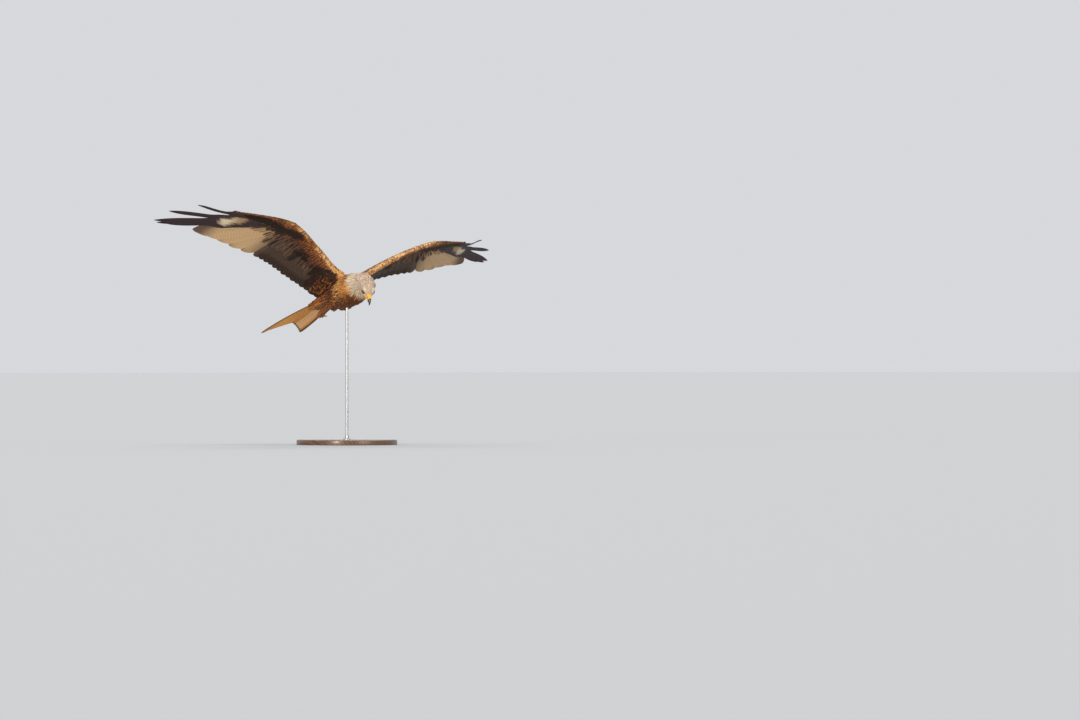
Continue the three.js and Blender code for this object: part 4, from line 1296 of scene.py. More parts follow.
def flesh_mesh(context):
    """The flesh nodes run together into one closed mesh."""
    flesh = bmesh.new()
    for name in SKIN_NODES:
        grown_copy(name, flesh)
    mesh = bpy.data.meshes.new("skin_rough")
    flesh.to_mesh(mesh)
    flesh.free()
    rough = bpy.data.objects.new("skin_rough", mesh)
    context.scene.collection.objects.link(rough)
    remesh = rough.modifiers.new("Run together", "REMESH")
    remesh.mode = "VOXEL"
    remesh.voxel_size = VOXEL
    soften = rough.modifiers.new("Soften", "SMOOTH")
    soften.factor = 0.5
    soften.iterations = 12
    skin = bpy.data.meshes.new_from_object(rough.evaluated_get(context.evaluated_depsgraph_get()))
    bpy.data.objects.remove(rough)
    if len(skin.vertices) < 1000:
        raise RuntimeError("the flesh didn't run together")
    return skin


class KITE_OT_skin(Operator):
    """Runs the flesh together into one skin, sunk by the coat's depth"""

    bl_idname = "kite.skin"
    bl_label = "Skin"

    def execute(self, context):
        c = colours_of(context)
        skin = flesh_mesh(context)
        points, normals = points_and_normals(skin)
        sunk = brow_rise(points) - coat_depth(points, context.scene.kite_sizes.body_depth)
        points = points + normals * sunk[:, None]
        skin.vertices.foreach_set("co", to_world(points).ravel())
        skin.update()
        rng = np.random.default_rng(SEED)
        ground, mark, _ = body_marks(points, normals, c, rng)
        on_wing = wing_share(points)
        out = np.abs(points[:, 0])
        behind = leading_edge(out) - points[:, 1]
        for upper in (True, False):
            cover, _, _ = covert_marks(out, behind, np.full(len(out), 3), upper, c, rng)
            ground = tint(ground, cover, on_wing * ((normals[:, 2] > 0) == upper))
        paint(skin, "Ground", ground * 0.8 + mark * 0.2)
        skin.materials.clear()
        hand_over(new_piece("skin", skin, skin_material(), 180), SKIN_NODES)
        return {"FINISHED"}


# Feathers of the body

SPINE_REACH = 26
SPINE = [  # where the coat's lie is known, and its way, in the bird's axes
    (HEAD_AT, HEAD_TURN @ np.array([0, -1.0, -0.05])),
    ((3, 90, -78), (0, -0.75, 0.66)),
    ((2, 66, -60), (0, -0.93, 0.36)),
    ((0, 20, -50), (0, -1, 0.08)),
    ((0, -60, -50), (0, -1, 0.0)),
    ((0, -160, -40), (0, -1, 0.06)),
    ((0, -260, -30), (0, -1, 0.06)),
]
BODY_SAMPLES, HEAD_SAMPLES = 160000, 900000  # random places on the skin that the roots are picked from
BODY_END = -262  # behind which only tail coverts grow
BODY_AXIS, HEAD_AXIS = (-45, 340, 480), (0, 45, 90)  # height, reach behind the origin, length
TROUSERS = 120  # long feathers of each thigh
TROUSER_BACK, TROUSER_RADIUS = [150, 175, 200, 235, 262], [14.5, 13.5, 13.5, 12.5, 10]


def coat_lie(points, normals):
    """The way the feathers lie at each place, along the surface."""
    way = np.zeros_like(points)
    for place, lie in SPINE:
        gap = np.linalg.norm(points - np.array(place, float), axis=1)
        way += np.exp(-(gap / SPINE_REACH) ** 2)[:, None] * np.array(lie)
    way += np.array([0, -1e-6, 0])
    way = unit(way)
    off_head = 1 - ease(-60, -30, to_head(points)[:, 1])
    breast = ease(10, 40, points[:, 1]) * ease(70, 95, -points[:, 2]) * off_head
    way += breast[:, None] * np.array([0, 0, -0.5])
    way -= (way * normals).sum(1, keepdims=True) * normals
    return unit(way)


def ruffled_lie(points, normals, ruffle, rng):
    """The feathers' lie, with each turned a little its own way."""
    return unit(coat_lie(points, normals) + rng.normal(0, ruffle, points.shape))


def scattered(points, normals, spacing, rng):
    """Picks points at least spacing apart, in a random order."""
    order = rng.permutation(len(points))
    cells = {}
    chosen = []
    keys = np.floor(points / spacing).astype(int)
    around = [(i, j, k) for i in (-1, 0, 1) for j in (-1, 0, 1) for k in (-1, 0, 1)]
    for index in order:
        x, y, z = keys[index]
        point = points[index]
        beside = [q for i, j, k in around for q in cells.get((x + i, y + j, z + k), ())]
        if any((point[0] - q[0]) ** 2 + (point[1] - q[1]) ** 2 + (point[2] - q[2]) ** 2 < spacing**2
               for q in beside):
            continue
        cells.setdefault((x, y, z), []).append(point)
        chosen.append(index)
    chosen = np.array(chosen)
    return points[chosen], normals[chosen]


def surface_samples(mesh, count, rng):
    """Random places on a mesh, with their normals, in the bird's axes."""
    mesh.calc_loop_triangles()
    corners = np.zeros(len(mesh.loop_triangles) * 3, np.int32)
    mesh.loop_triangles.foreach_get("vertices", corners)
    points, normals = (values[corners.reshape(-1, 3)] for values in points_and_normals(mesh))
    area = np.linalg.norm(np.cross(points[:, 1] - points[:, 0], points[:, 2] - points[:, 0]), axis=1)
    pick = rng.choice(len(area), count, p=area / area.sum())
    a, b = rng.random((2, count))
    swap = a + b > 1
    a, b = np.where(swap, 1 - a, a), np.where(swap, 1 - b, b)
    weights = stacked(1 - a - b, a, b)[..., None]
    return (points[pick] * weights).sum(1), unit((normals[pick] * weights).sum(1))


def laid_on_skin(tree, points, normals, lie, length, half_width, rise, outline):
    """Rings of feathers that follow the skin from their roots along the lie, and which ones lie evenly."""
    stations, widths = outline
    count = len(points)
    middle = np.zeros((count, len(stations), 3))
    up = np.zeros_like(middle)
    for step, t in enumerate(stations):
        world = to_world(points + lie * (length * t)[:, None] + normals * 1.5)
        for i in range(count):
            middle[i, step], up[i, step], _, _ = tree.find_nearest(Vector(world[i]))
    middle = to_bird(middle.reshape(-1, 3)).reshape(middle.shape)
    up = up @ BIRD_TURN
    way = unit(np.diff(middle, axis=1))
    even = ((way[:, 1:] * way[:, :-1]).sum(2).min(1) > 0.8) & ((up[:, 1:] * up[:, :-1]).sum(2).min(1) > 0.6)
    lift = rise[:, :1] + (rise[:, 1:] - rise[:, :1]) * stations[None, :] ** 1.2
    middle = middle + up * lift[..., None]
    side = beside_line(middle, up)
    up = unit(np.cross(unit(np.gradient(middle, axis=1)), side))
    width = half_width[:, None] * widths[None, :]
    return plume_rings(middle, side, up, width, 0.4, 0.22 * width), even


def round_unwrap(points, height, back, length):
    """Places on an unwrap of the trunk or of the head: round its long axis, and along it."""
    angle = np.arctan2(points[:, 0], points[:, 2] - height)
    return stacked(0.5 + angle / (2 * math.pi) * 0.96, 0.03 + 0.92 * (points[:, 1] + back) / length)


def skin_tree():
    skin = bpy.data.objects["skin"].data
    skin.calc_loop_triangles()
    triangles = [tuple(t.vertices) for t in skin.loop_triangles]
    return skin, BVHTree.FromPolygons([v.co[:] for v in skin.vertices], triangles)


def thigh_share(points):
    """1 on the thighs, 0 beside them and above their tops."""
    return (1 - ease(17, 24, gap_to_line(mirrored(points), *THIGH_SPINE))) * ease(56, 66, -points[:, 2])


def trouser_batch(c, rng, side, count):
    """Long, loose feathers from the end of a thigh, which hide most of the drawn-up foot."""
    tuck = LEFT_FOOT_TUCK if side < 0 else np.zeros(3)
    angle = rng.uniform(0, 2 * math.pi, count)
    start = rng.uniform(-196, -150, count)
    length = rng.uniform(46, 66, count)
    stations, widths = POINTED
    y = start[:, None] - length[:, None] * stations
    around = np.interp(-y, TROUSER_BACK, TROUSER_RADIUS) * rng.uniform(0.75, 1.0, (count, 1))
    away = stacked(np.cos(angle), 0, np.sin(angle))[:, None]
    middle = stacked(28, y, -76 - 9 * ease(190, 245, -y)) + around[..., None] * away
    middle = (middle + tuck) * [side, 1, 1]
    up = np.broadcast_to(away * [side, 1, 1], middle.shape)
    width = np.full((count, 1), 5.0) * widths
    rings = plume_rings(middle, beside_line(middle, up), up, width, 0.4, 0.25 * width)
    facts = feather_data(rings, *body_marks(middle[:, 2], up[:, 2], c, rng), length / BAR_GAP)
    return rings, facts, round_unwrap(middle[:, 0], *BODY_AXIS)


class KITE_OT_body_feathers(Operator):
    """Lays the feathers of the trunk, thighs and neck"""

    bl_idname = "kite.body_feathers"
    bl_label = "Body feathers"

    def execute(self, context):
        c = colours_of(context)
        sizes = context.scene.kite_sizes
        rng = np.random.default_rng(SEED + 1)
        skin, tree = skin_tree()
        points, normals = surface_samples(skin, BODY_SAMPLES, rng)
        on_body = (wing_share(points) < 0.6) & (face_share(points) < 0.6) & (points[:, 1] > BODY_END)
        points, normals = points[on_body], normals[on_body]
        neck = points[:, 1] > -22
        thigh = (thigh_share(points) > 0.5) & ~neck
        parts = [  # slot, places, spacing, length, half width, outline
            ("trunk", ~neck & ~thigh, sizes.trunk_spacing, 38, 8.6, ROUNDED),
            ("thigh", thigh, sizes.neck_spacing, 32, 4.6, POINTED),
            ("neck", neck, sizes.neck_spacing, 25, 3.1, POINTED),
        ]
        for slot, chosen, spacing, length, half, outline in parts:
            own, facing = scattered(points[chosen], normals[chosen], spacing, rng)
            count = len(own)
            depth = coat_depth(own, sizes.body_depth)
            size = rng.uniform(0.8, 1.2, count)
            tail_end = 1 - ease(-250, -170, own[:, 1])
            lie = ruffled_lie(own, facing, 0.09, rng)
            rise = stacked(0.2, depth * rng.uniform(0.4, 0.9, count))
            rings, even = laid_on_skin(tree, own, facing, lie, length * size * (1 + 0.5 * tail_end),
                                       half * size, rise, outline)
            marks = [values[even] for values in body_marks(own, facing, c, rng)]
            facts = feather_data(rings[even], *marks, (length * size / BAR_GAP)[even])
            batches = [(rings[even], facts, round_unwrap(own[even], *BODY_AXIS))]
            if slot == "thigh":
                batches += [trouser_batch(c, rng, side, TROUSERS) for side in (1, -1)]
            hand_over(coat_piece(f"{slot}_feathers", batches, coat_material()))
        return {"FINISHED"}


class KITE_OT_head_feathers(Operator):
    """Lays the short, narrow feathers of the head"""

    bl_idname = "kite.head_feathers"
    bl_label = "Head feathers"

    def execute(self, context):
        c = colours_of(context)
        sizes = context.scene.kite_sizes
        rng = np.random.default_rng(SEED + 2)
        skin, tree = skin_tree()
        points, normals = surface_samples(skin, HEAD_SAMPLES, rng)
        head = to_head(points)
        from_eye = np.linalg.norm(mirrored(head) - [EYE_OUT, EYE_FORWARD, EYE_UP], axis=1)
        chosen = (from_eye > EYE_RADIUS + 0.6) & (head[:, 1] < 30) & (face_share(points) > 0.3)
        own, facing = scattered(points[chosen], normals[chosen], sizes.head_spacing, rng)
        head = to_head(own)
        count = len(own)
        face = ease(-10, 26, head[:, 1])
        length = mix(13.0, 4.6, face) * rng.uniform(0.85, 1.15, count)
        depth = np.minimum(coat_depth(own, sizes.body_depth), mix(2.0, 0.9, face))
        lie = ruffled_lie(own, facing, 0.06, rng)
        rings, _ = laid_on_skin(tree, own, facing, lie, length, mix(2.1, 0.9, face),
                                stacked(0.05, depth), SHORT)
        facts = feather_data(rings, *body_marks(own, facing, c, rng), length / BAR_GAP)
        batches = [(rings, facts, round_unwrap(head, *HEAD_AXIS))]
        hand_over(coat_piece("head_feathers", batches, coat_material()))
        return {"FINISHED"}


# Eyes and bill, in the head's own axes

CERE = [
    (0, 27, -1, 0, 0, 0), (0, 29, -1, 9.5, 10, 7.5), (0, 35, -2, 8.6, 9.2, 7),
    (0, 41, -3, 7.4, 8.4, 6), (0, 44, -3.5, 6.6, 7.6, 5.4), (0, 46, -3.8, 0, 0, 0),
]
BILL_UPPER = [
    (0, 42, -3.2, 0, 0, 0), (0, 43.4, -3.2, 6.2, 7.4, 5), (0, 49, -4.6, 5.3, 6.6, 4.6),
    (0, 54.5, -8.2, 4.2, 5.2, 4), (0, 58.2, -13.8, 2.8, 3, 2.8), (0, 58.8, -19.2, 1.4, 1.5, 1.5),
    (0, 58.0, -23.4, 0, 0, 0),
]
NOSTRIL = ((7.8, 38, 1.6), (6, 3.8, 2.1))  # place and reach
GAPE = [  # out, forward, up, radius
    (16.4, 13, -9.2, 0.2), (14.6, 17, -9.4, 1.1), (11.8, 24, -9.5, 1.7), (8.3, 31, -9.3, 1.7),
    (6.3, 38, -9.0, 1.2), (5.1, 44, -8.8, 0.7), (5.0, 46, -8.7, 0.2),
]
BILL_LOWER = [
    (0, 14, -13, 0, 0, 0), (0, 20, -12.4, 9.5, 2.2, 4), (0, 32, -11.4, 8.2, 1.9, 4.3),
    (0, 40, -11.2, 6.7, 1.8, 4.1), (0, 47, -11.6, 5.1, 1.8, 3.6), (0, 51, -12.0, 3.4, 1.6, 2.4),
    (0, 53.2, -12.4, 0, 0, 0),
]


def head_piece(name, rings, material):
    """A piece from rings in the head's axes."""
    points, faces = tubes(rings if rings.ndim == 4 else rings[None])
    return new_piece(name, mesh_from(name, to_world(from_head(points)), faces), material, 60)


def eye_axes(side):
    """The eye's centre, the way it looks, and the two ways across that."""
    aim = unit(np.array([EYE_AIM[0] * side, EYE_AIM[1], EYE_AIM[2]]))
    across = unit(np.cross(aim, [0, 0, 1.0]))
    return np.array([side * EYE_OUT, EYE_FORWARD, EYE_UP]), aim, across, np.cross(across, aim)


def eye_rings(axes, radius):
    """A ball of rings round the way the eye looks, with the angle from that way at each point."""
    centre, aim, across, up = axes
    polar = np.linspace(0.01, math.pi - 0.01, 33)
    angle = circle(40)
    ball = (np.cos(polar)[:, None, None] * aim
            + np.sin(polar)[:, None, None] * (np.cos(angle)[:, None] * across + np.sin(angle)[:, None] * up))
    bulge = 1 + 0.06 * (1 - ease(0.0, 0.75, polar))[:, None, None]
    return centre + radius * ball * bulge, np.repeat(polar, len(angle))


def lid_rings(axes, radius):
    """A rounded rim round the eye's opening, which is narrower above and below."""
    centre, aim, across, up = axes
    angle = np.linspace(0, 2 * math.pi, 49)
    rim = 0.84 - 0.3 * np.maximum(np.sin(angle), 0) ** 1.5 - 0.2 * np.maximum(-np.sin(angle), 0) ** 2
    turn_by = circle(12)
    reach = rim[:, None] + 0.24 * (1 - np.cos(turn_by))
    thick = radius + 0.45 * np.sin(turn_by) * (1 + 0.5 * np.cos(turn_by))
    toward = (np.cos(reach)[..., None] * aim + np.sin(reach)[..., None] * (
        np.cos(angle)[:, None, None] * across + np.sin(angle)[:, None, None] * up))
    return centre + toward * thick[:, None]


def eye_material(c):
    """A dark pupil, a flecked iris and a dark rim, by the angle from the way the eye looks."""
    material, tree, shader = new_material("Eye", 0.08, 0.4, Coat_Weight=0.25, Coat_Roughness=0.02)
    polar = carried(tree, "Polar")
    flecks = noise(tree, object_place(tree), 900.0, 3.0)
    iris = blend(tree, stretch(tree, flecks, 0.3, 0.7), (*c.iris, 1), (*(c.iris * 0.45), 1))
    iris = blend(tree, stretch(tree, polar, 0.62, 0.82), iris, (0.02, 0.015, 0.01, 1))
    colour = blend(tree, stretch(tree, polar, 0.34, 0.4), (0.003, 0.003, 0.004, 1), iris)
    tree.links.new(colour, shader["Base Color"])
    return material


def bare_skin_material(name, code, scale, distance, roughness=0.45):
    """Bare skin with a fine pebbled grain, darker between the pebbles, and near-black painted shade in a
    nostril's opening.
    """
    material, tree, shader = new_material(name, roughness, 0.4)
    spot = object_place(tree)
    cells = wire(tree, "ShaderNodeTexVoronoi", {"Vector": spot, "Scale": scale}, feature="F1").outputs[0]
    cloudy = noise(tree, spot, scale * 0.12)
    base = (*code, 1)
    dark = (*(np.array(code) * [0.72, 0.6, 0.45]), 1)
    colour = blend(tree, stretch(tree, cells, 0.3, 0.9, 0, 0.45), base, dark)
    colour = blend(tree, stretch(tree, cloudy, 0.5, 0.8, 0, 0.3), colour, dark)
    # Painted shade: the nostril's opening is darkened almost to black.
    colour = blend(tree, carried(tree, "NostrilShade"), colour, (0.03, 0.015, 0.005, 1))
    tree.links.new(colour, shader["Base Color"])
    relief(tree, shader, sum_of(tree, "SUBTRACT", 1.0, cells), distance)
    return material


def horn_material(name, code, root_code=None):
    """Dark horn with growth lines. Where the Root attribute is 1 it has the root's colour."""
    material, tree, shader = new_material(name, 0.28, 0.5, Coat_Weight=0.35, Coat_Roughness=0.15)
    lines = noise(tree, object_place(tree), 350.0, 4.0)
    colour = blend(tree, stretch(tree, lines, 0.35, 0.75), (*code, 1), (*(code * 2.4 + 0.004), 1))
    if root_code is not None:
        root = carried(tree, "Root")
        ragged = sum_of(tree, "MULTIPLY_ADD", lines, 0.3, sum_of(tree, "SUBTRACT", root, 0.15))
        colour = blend(tree, stretch(tree, ragged, 0.3, 0.7), colour, (*root_code, 1))
    tree.links.new(colour, shader["Base Color"])
    tree.links.new(stretch(tree, lines, 0.2, 0.8, 0.2, 0.42), shader["Roughness"])
    relief(tree, shader, lines, 0.0002, 0.4)
    return material


class KITE_OT_eyes(Operator):
    """Makes each eye and its lids"""

    bl_idname = "kite.eyes"
    bl_label = "Eyes"

    def execute(self, context):
        c = colours_of(context)
        material = eye_material(c)
        lid_material = bare_skin_material("Eyelid", tuple(c.lid), 1300, 0.0001)
        for name, side in (("right", 1), ("left", -1)):
            axes = eye_axes(side)
            rings, polar = eye_rings(axes, EYE_RADIUS - 0.6)
            piece = head_piece(f"eye_{name}_ball", rings, material)
            paint(piece.data, "Polar", polar)
            hand_over(piece, [f"eye_{name}"])
            lid = head_piece(f"eyelid_{name}", lid_rings(axes, EYE_RADIUS - 0.2), lid_material)
            hand_over(lid)
        return {"FINISHED"}


class KITE_OT_bill(Operator):
    """Makes the cere, the gape and the two halves of the bill"""

    bl_idname = "kite.bill"
    bl_label = "Bill"

    def execute(self, context):
        c = colours_of(context)
        skin = bare_skin_material("Cere", tuple(c.cere), 1500, 0.00006, 0.42)
        horn = horn_material("Bill horn", c.horn, c.cere)
        cere = loft(CERE, 64, 90)
        level = mirrored(cere)
        level[..., 2] += 0.5 * (cere[..., 1] - NOSTRIL[0][1])
        nostril = near(level, *NOSTRIL)
        cere[..., 0] -= np.sign(cere[..., 0]) * nostril * 1.8
        piece = head_piece("cere_skin", cere, skin)
        # The nostril's mask, for the painted shade in its opening.
        paint(piece.data, "NostrilShade", ease(0.15, 0.8, nostril.ravel()))
        hand_over(piece, ["cere"])
        upper = loft(BILL_UPPER, 36, 56)
        lower = loft(BILL_LOWER, 28, 32)
        for name, rings, yellow_to in (("upper", upper, 46), ("lower", lower, 44)):
            piece = head_piece(f"bill_{name}_horn", rings, horn)
            paint(piece.data, "Root", 1 - ease(yellow_to - 4, yellow_to + 4, rings[..., 1].ravel()))
            hand_over(piece, [f"bill_{name}"])
        gapes = [loft([(side * x, y, z, r, r, r) for x, y, z, r in GAPE], 12, 28) for side in (1, -1)]
        hand_over(head_piece("gape", np.stack(gapes), skin))
        return {"FINISHED"}


# Feet

SHANK = [
    (28, -180, -74, 0, 0, 0), (28, -182, -74, 4.4, 4.6, 4.6), (26, -205, -71, 3.9, 4.2, 4.2),
    (25, -224, -69, 4.8, 4.4, 4.4), (25, -229, -69, 0, 0, 0),
]
TOE_RADIUS, TOE_REACH = 3.3, 34  # and the run over which a toe spreads
CLAW_LENGTH = 15
FRONT, HIND = (-1, 0.35, 2.2, 0.9), (1, 0.6, 0.8, 0.6)
TOES = [  # which way it curls, start, spread, length
    (FRONT, (23.5, -224, -69), -10, 29),
    (FRONT, (25, -226, -69), 0, 34),
    (FRONT, (27, -224, -69), 10, 29),
    (HIND, (26, -216, -70), 5, 20),
]
LEFT_FOOT_TUCK = np.array([5.0, 0, 33.0])  # by which the left foot lies nearer the middle and higher


def toe_points(toe, run):
    """Places along a toe and its claw, which curl on an arc, at each run from the toe's start."""
    (heads, angle, bend, claw_bend), start, spread, length = toe
    in_toe = np.minimum(run, length)
    turned = angle + bend / length * in_toe
    end = turned + claw_bend / CLAW_LENGTH * (run - in_toe)
    level = ((np.sin(turned) - math.sin(angle)) * length / bend
             + (np.sin(end) - np.sin(turned)) * CLAW_LENGTH / claw_bend)
    fall = ((np.cos(turned) - math.cos(angle)) * length / bend
            + (np.cos(end) - np.cos(turned)) * CLAW_LENGTH / claw_bend)
    return stacked(start[0] + spread * run / TOE_REACH, start[1] + heads * level, start[2] + fall)


def round_tube(middle, radius, around):
    """Rings of a round tube along a row of places."""
    ahead = unit(np.gradient(middle, axis=0))
    side = unit(np.cross(ahead, [1.0, 0.2, 0.1]))
    up = np.cross(side, ahead)
    angle = circle(around)
    ring = np.cos(angle)[:, None] * side[:, None] + np.sin(angle)[:, None] * up[:, None]
    return middle[:, None] + ring * radius[:, None, None]


def toe_rings(toe):
    """A toe with its scutes: shallow steps along it, and pads under the joints."""
    length = toe[3]
    run = np.linspace(0, length, 61)
    share = run / length
    ends = np.sqrt(np.clip(1 - np.abs(2 * share - 1) ** 14, 0.002, 1))
    scutes = 1 + 0.05 * np.abs(np.sin(share * math.pi * 9))
    pads = 1 + 0.12 * np.sin(share * math.pi * 3) ** 2
    return round_tube(toe_points(toe, run), TOE_RADIUS * mix(1, 0.8, share) * ends * scutes * pads, 14)


def claw_rings(toe):
    run = np.linspace(-1.5, CLAW_LENGTH, 30)
    share = np.clip(run / CLAW_LENGTH, 0, 1)
    radius = mix(2.5, 0.25, share**0.8) * np.sqrt(np.clip((run + 1.6) / 2, 0.01, 1))
    return round_tube(toe_points(toe, toe[3] + run), radius, 14)


def shank_rings():
    rings = loft(SHANK, 18, 70)
    middle = rings.mean(axis=1, keepdims=True)
    steps = 1 + 0.05 * np.abs(np.sin(np.linspace(0, 8 * math.pi, 70)))
    return middle + (rings - middle) * steps[:, None, None]


def foot_meshes(side, parts):
    moved = [part * [side, 1, 1] + (LEFT_FOOT_TUCK if side < 0 else 0) for part in parts]
    built = [tubes(part[None]) for part in moved]
    first = np.cumsum([0] + [len(points) for points, _ in built[:-1]])
    points = np.concatenate([points for points, _ in built])
    return to_world(points), np.concatenate([faces + at for (_, faces), at in zip(built, first)])


class KITE_OT_feet(Operator):
    """Makes the scaled feet and the claws"""

    bl_idname = "kite.feet"
    bl_label = "Feet"

    def execute(self, context):
        c = colours_of(context)
        scales = bare_skin_material("Foot scales", tuple(c.foot), 520, 0.0005, 0.5)
        horn = horn_material("Claw horn", c.horn * 0.8)
        for name, side in (("right", 1), ("left", -1)):
            foot = mesh_from("foot", *foot_meshes(side, [shank_rings()] + [toe_rings(toe) for toe in TOES]))
            hand_over(new_piece(f"foot_{name}_scales", foot, scales), [f"foot_{name}"])
            claws = mesh_from("claws", *foot_meshes(side, [claw_rings(toe) for toe in TOES]))
            nodes = [f"claw_{i + 1}_{name}" for i in range(len(TOES))]
            hand_over(new_piece(f"claws_{name}", claws, horn), nodes)
        return {"FINISHED"}


# Stand

BASE_RADIUS, BASE_HEIGHT, ROD_RADIUS = 190, 20, 5


def wood_material(code):
    """Stained wood: growth rings about an axis outside the disc, and fine pores."""
    material, tree, shader = new_material("Stained wood", 0.4, 0.45, Coat_Weight=0.35, Coat_Roughness=0.2)
    spot = object_place(tree)
    trunk = {"Vector": spot, "Location": (0.31, 0.07, 0.12), "Scale": (1, 0.18, 1)}
    grain = {"Vector": wire(tree, "ShaderNodeMapping", trunk).outputs[0], "Scale": 26.0, "Distortion": 3.5,
             "Detail": 3.0, "Detail Scale": 1.2}
    rings = wire(tree, "ShaderNodeTexWave", grain, wave_type="RINGS", rings_direction="Y").outputs["Fac"]
    long_ways = wire(tree, "ShaderNodeMapping", {"Vector": spot, "Scale": (420, 22, 420)}).outputs[0]
    pores = noise(tree, long_ways, 1.0, 3.0)
    colour = blend(tree, stretch(tree, rings, 0.1, 0.9), (*code, 1), (*(code * 0.55), 1))
    colour = blend(tree, stretch(tree, pores, 0.5, 0.72, 0.0, 0.7), colour, (*(code * 0.3), 1))
    tree.links.new(colour, shader["Base Color"])
    tree.links.new(stretch(tree, pores, 0.4, 0.8, 0.36, 0.55), shader["Roughness"])
    relief(tree, shader, pores, 0.0002, 0.3)
    return material


def steel_material():
    """Brushed steel, with fine lines round the rod."""
    material, tree, shader = new_material("Brushed steel", 0.3, 0.5, Metallic=1.0)
    fine = wire(tree, "ShaderNodeMapping",
                {"Vector": object_place(tree), "Scale": (60, 60, 2600)}).outputs[0]
    lines = noise(tree, fine, 1.0)
    tree.links.new(blend(tree, lines, (0.30, 0.31, 0.33, 1), (0.42, 0.43, 0.45, 1)), shader["Base Color"])
    tree.links.new(stretch(tree, lines, 0.3, 0.7, 0.24, 0.4), shader["Roughness"])
    relief(tree, shader, lines, 0.00005, 0.3)
    return material


def turned_rings(profile, around):
    """Rings of a shape turned on a lathe, from (radius, height) pairs in millimetres."""
    angle = circle(around)
    radius, height = np.array(profile, float).T[..., None]
    return stacked(radius * np.cos(angle), radius * np.sin(angle), height)


def rounded_corner(radius, height, size, quarter):
    """Profile points round a corner of a turned piece. Quarter 0 is the foot's, 1 the top's."""
    steps = np.linspace(0, math.pi / 2, 7)
    if quarter == 0:
        return [(radius - size + size * math.sin(a), height + size - size * math.cos(a)) for a in steps]
    return [(radius - size + size * math.cos(a), height - size + size * math.sin(a)) for a in steps]


class KITE_OT_stand(Operator):
    """Makes the turned wooden base, the rod and its collar"""

    bl_idname = "kite.stand"
    bl_label = "Stand"

    def execute(self, context):
        c = colours_of(context)
        groove = [(172, BASE_HEIGHT), (170.5, BASE_HEIGHT - 1.2), (169, BASE_HEIGHT)]
        profile = [(0.01, 0), *rounded_corner(BASE_RADIUS, 0, 1.5, 0),
                   *rounded_corner(BASE_RADIUS, BASE_HEIGHT, 5, 1), *groove, (0.01, BASE_HEIGHT)]
        points, faces = tubes(turned_rings(profile, 160)[None])
        mesh = mesh_from("base", points / 1000, faces)
        hand_over(new_piece("stand_base_wood", mesh, wood_material(c.wood), 35), ["stand_base"])
        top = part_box("stand_rod")[1].z * 1000 + 4
        rod = [(0.01, BASE_HEIGHT - 2), (ROD_RADIUS, BASE_HEIGHT - 2), (ROD_RADIUS, top), (0.01, top)]
        collar = [(ROD_RADIUS - 1, BASE_HEIGHT - 1), (14, BASE_HEIGHT - 1), (14, BASE_HEIGHT + 2),
                  *rounded_corner(14, BASE_HEIGHT + 4, 2, 1), (8, BASE_HEIGHT + 5),
                  *rounded_corner(7.5, BASE_HEIGHT + 16, 1.2, 1), (ROD_RADIUS - 1, BASE_HEIGHT + 16)]
        steel = steel_material()
        for name, shape in (("stand_rod_steel", rod), ("stand_collar", collar)):
            points, faces = tubes(turned_rings(shape, 48)[None])
            piece = new_piece(name, mesh_from(name, points / 1000, faces), steel, 35)
            hand_over(piece, ["stand_rod"] if name == "stand_rod_steel" else ())
        return {"FINISHED"}


# Stage

FLOOR_HALF = 150.0
SUNS = [  # name, compass way, height, strength, size, colour
    ("Key", -54, 8, 2.0, 10, (1.0, 0.88, 0.72)),
    ("Front", 10, 4, 1.2, 25, (1.0, 0.93, 0.82)),
    ("Fill", 150, 40, 1.0, 30, (0.95, 0.97, 1.0)),
    ("Top", 20, 75, 0.7, 40, (1.0, 1.0, 1.0)),
]


def add_sun(name, azimuth, elevation, strength, size, colour):
    """A soft sun that shines from a compass way and a height above the floor, in degrees."""
    light = bpy.data.lights.new(name, "SUN")
    light.energy = strength
    light.angle = math.radians(size)
    light.color = colour
    lamp = bpy.data.objects.new(name, light)
    a, e = math.radians(azimuth), math.radians(elevation)
    back = Vector((math.sin(a) * math.cos(e), -math.cos(a) * math.cos(e), math.sin(e)))
    lamp.rotation_euler = (-back).to_track_quat("-Z", "Y").to_euler()
    bpy.context.scene.collection.objects.link(lamp)


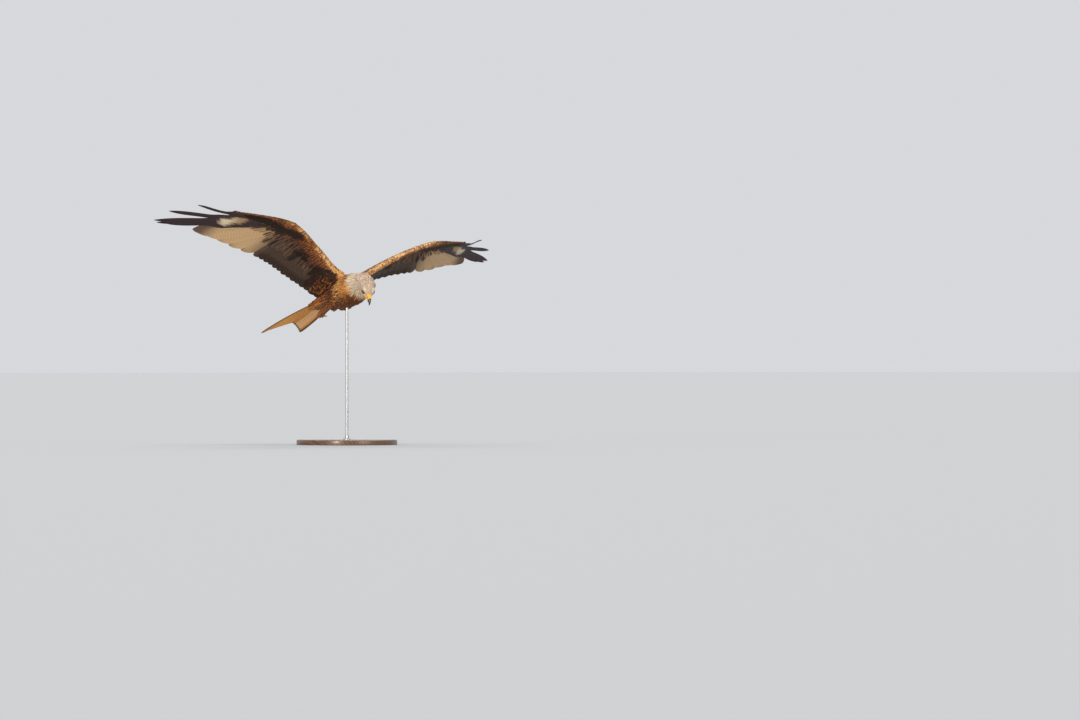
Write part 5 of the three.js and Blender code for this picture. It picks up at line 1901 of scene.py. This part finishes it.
class KITE_OT_stage(Operator):
    """Makes the floor, the lights and the camera"""

    bl_idname = "kite.stage"
    bl_label = "Stage"

    def execute(self, context):
        c = colours_of(context)
        corners = FLOOR_HALF * np.array([(-1, -1, 0), (1, -1, 0), (1, 1, 0), (-1, 1, 0)])
        material, _, shader = new_material("Floor", 0.9, 0.1)
        shader["Base Color"].default_value = (*c.floor, 1)
        floor = new_piece("floor", mesh_from("floor", corners, np.array([[0, 1, 2, 3]])), material)
        world = bpy.data.worlds.new("Studio")
        context.scene.world = world
        world.use_nodes = True
        sky = world.node_tree.nodes["Background"].inputs
        sky["Color"].default_value = (0.9, 0.92, 0.95, 1)
        sky["Strength"].default_value = 0.75
        for sun in SUNS:
            add_sun(*sun)
        back = np.array([math.sin(CAMERA_AZIMUTH), -math.cos(CAMERA_AZIMUTH), 0])
        right = np.array([math.cos(CAMERA_AZIMUTH), math.sin(CAMERA_AZIMUTH), 0])
        aside = (WING_LINE_PIXEL[0] - PHOTO_SIZE[0] / 2) / PIXELS_PER_METRE
        above = (PHOTO_SIZE[1] / 2 - WING_LINE_PIXEL[1]) / PIXELS_PER_METRE
        place = WING_LINE_AT / 1000 + back * CAMERA_DISTANCE - right * aside - np.array([0, 0, above])
        lens = bpy.data.cameras.new("Camera")
        lens.sensor_width = SENSOR
        lens.lens = PIXELS_PER_METRE * CAMERA_DISTANCE * SENSOR / PHOTO_SIZE[0]
        lens.clip_start, lens.clip_end = 1.0, 400.0
        camera = bpy.data.objects.new("Camera", lens)
        camera.location = place
        camera.rotation_euler = Vector(-back).to_track_quat("-Z", "Y").to_euler()
        context.scene.collection.objects.link(camera)
        context.scene.camera = camera
        context.scene.view_settings.view_transform = "Standard"
        return {"FINISHED"}


OPERATORS = [
    KITE_OT_stage, KITE_OT_skin, KITE_OT_flight_feathers, KITE_OT_wing_coverts, KITE_OT_tail,
    KITE_OT_body_feathers, KITE_OT_head_feathers, KITE_OT_eyes, KITE_OT_bill, KITE_OT_feet, KITE_OT_stand,
]


class KITE_PT_panel(Panel):
    """Lists the steps that build the bird, and its sizes and colours"""

    bl_idname = "KITE_PT_panel"
    bl_label = "Red kite"
    bl_space_type = "VIEW_3D"
    bl_region_type = "UI"
    bl_category = "Red kite"

    def draw(self, context):
        for operator in OPERATORS:
            self.layout.operator(operator.bl_idname)
        for group, kind in ((context.scene.kite_sizes, PlumageSizes),
                            (context.scene.kite_plumage, PlumageColours),
                            (context.scene.kite_bare, BareColours)):
            box = self.layout.box()
            for key in kind.__annotations__:
                box.prop(group, key)


CLASSES = [PlumageColours, BareColours, PlumageSizes, *OPERATORS, KITE_PT_panel]


def register():
    for kind in CLASSES:
        bpy.utils.register_class(kind)
    bpy.types.Scene.kite_plumage = PointerProperty(type=PlumageColours)
    bpy.types.Scene.kite_bare = PointerProperty(type=BareColours)
    bpy.types.Scene.kite_sizes = PointerProperty(type=PlumageSizes)


def unregister():
    del bpy.types.Scene.kite_plumage
    del bpy.types.Scene.kite_bare
    del bpy.types.Scene.kite_sizes
    for kind in reversed(CLASSES):
        bpy.utils.unregister_class(kind)


def main():
    register()
    bpy.ops.kite.stage()
    bpy.ops.kite.skin()
    bpy.ops.kite.flight_feathers()
    bpy.ops.kite.wing_coverts()
    bpy.ops.kite.tail()
    bpy.ops.kite.body_feathers()
    bpy.ops.kite.head_feathers()
    bpy.ops.kite.eyes()
    bpy.ops.kite.bill()
    bpy.ops.kite.feet()
    bpy.ops.kite.stand()


if __name__ == "__main__":
    main()
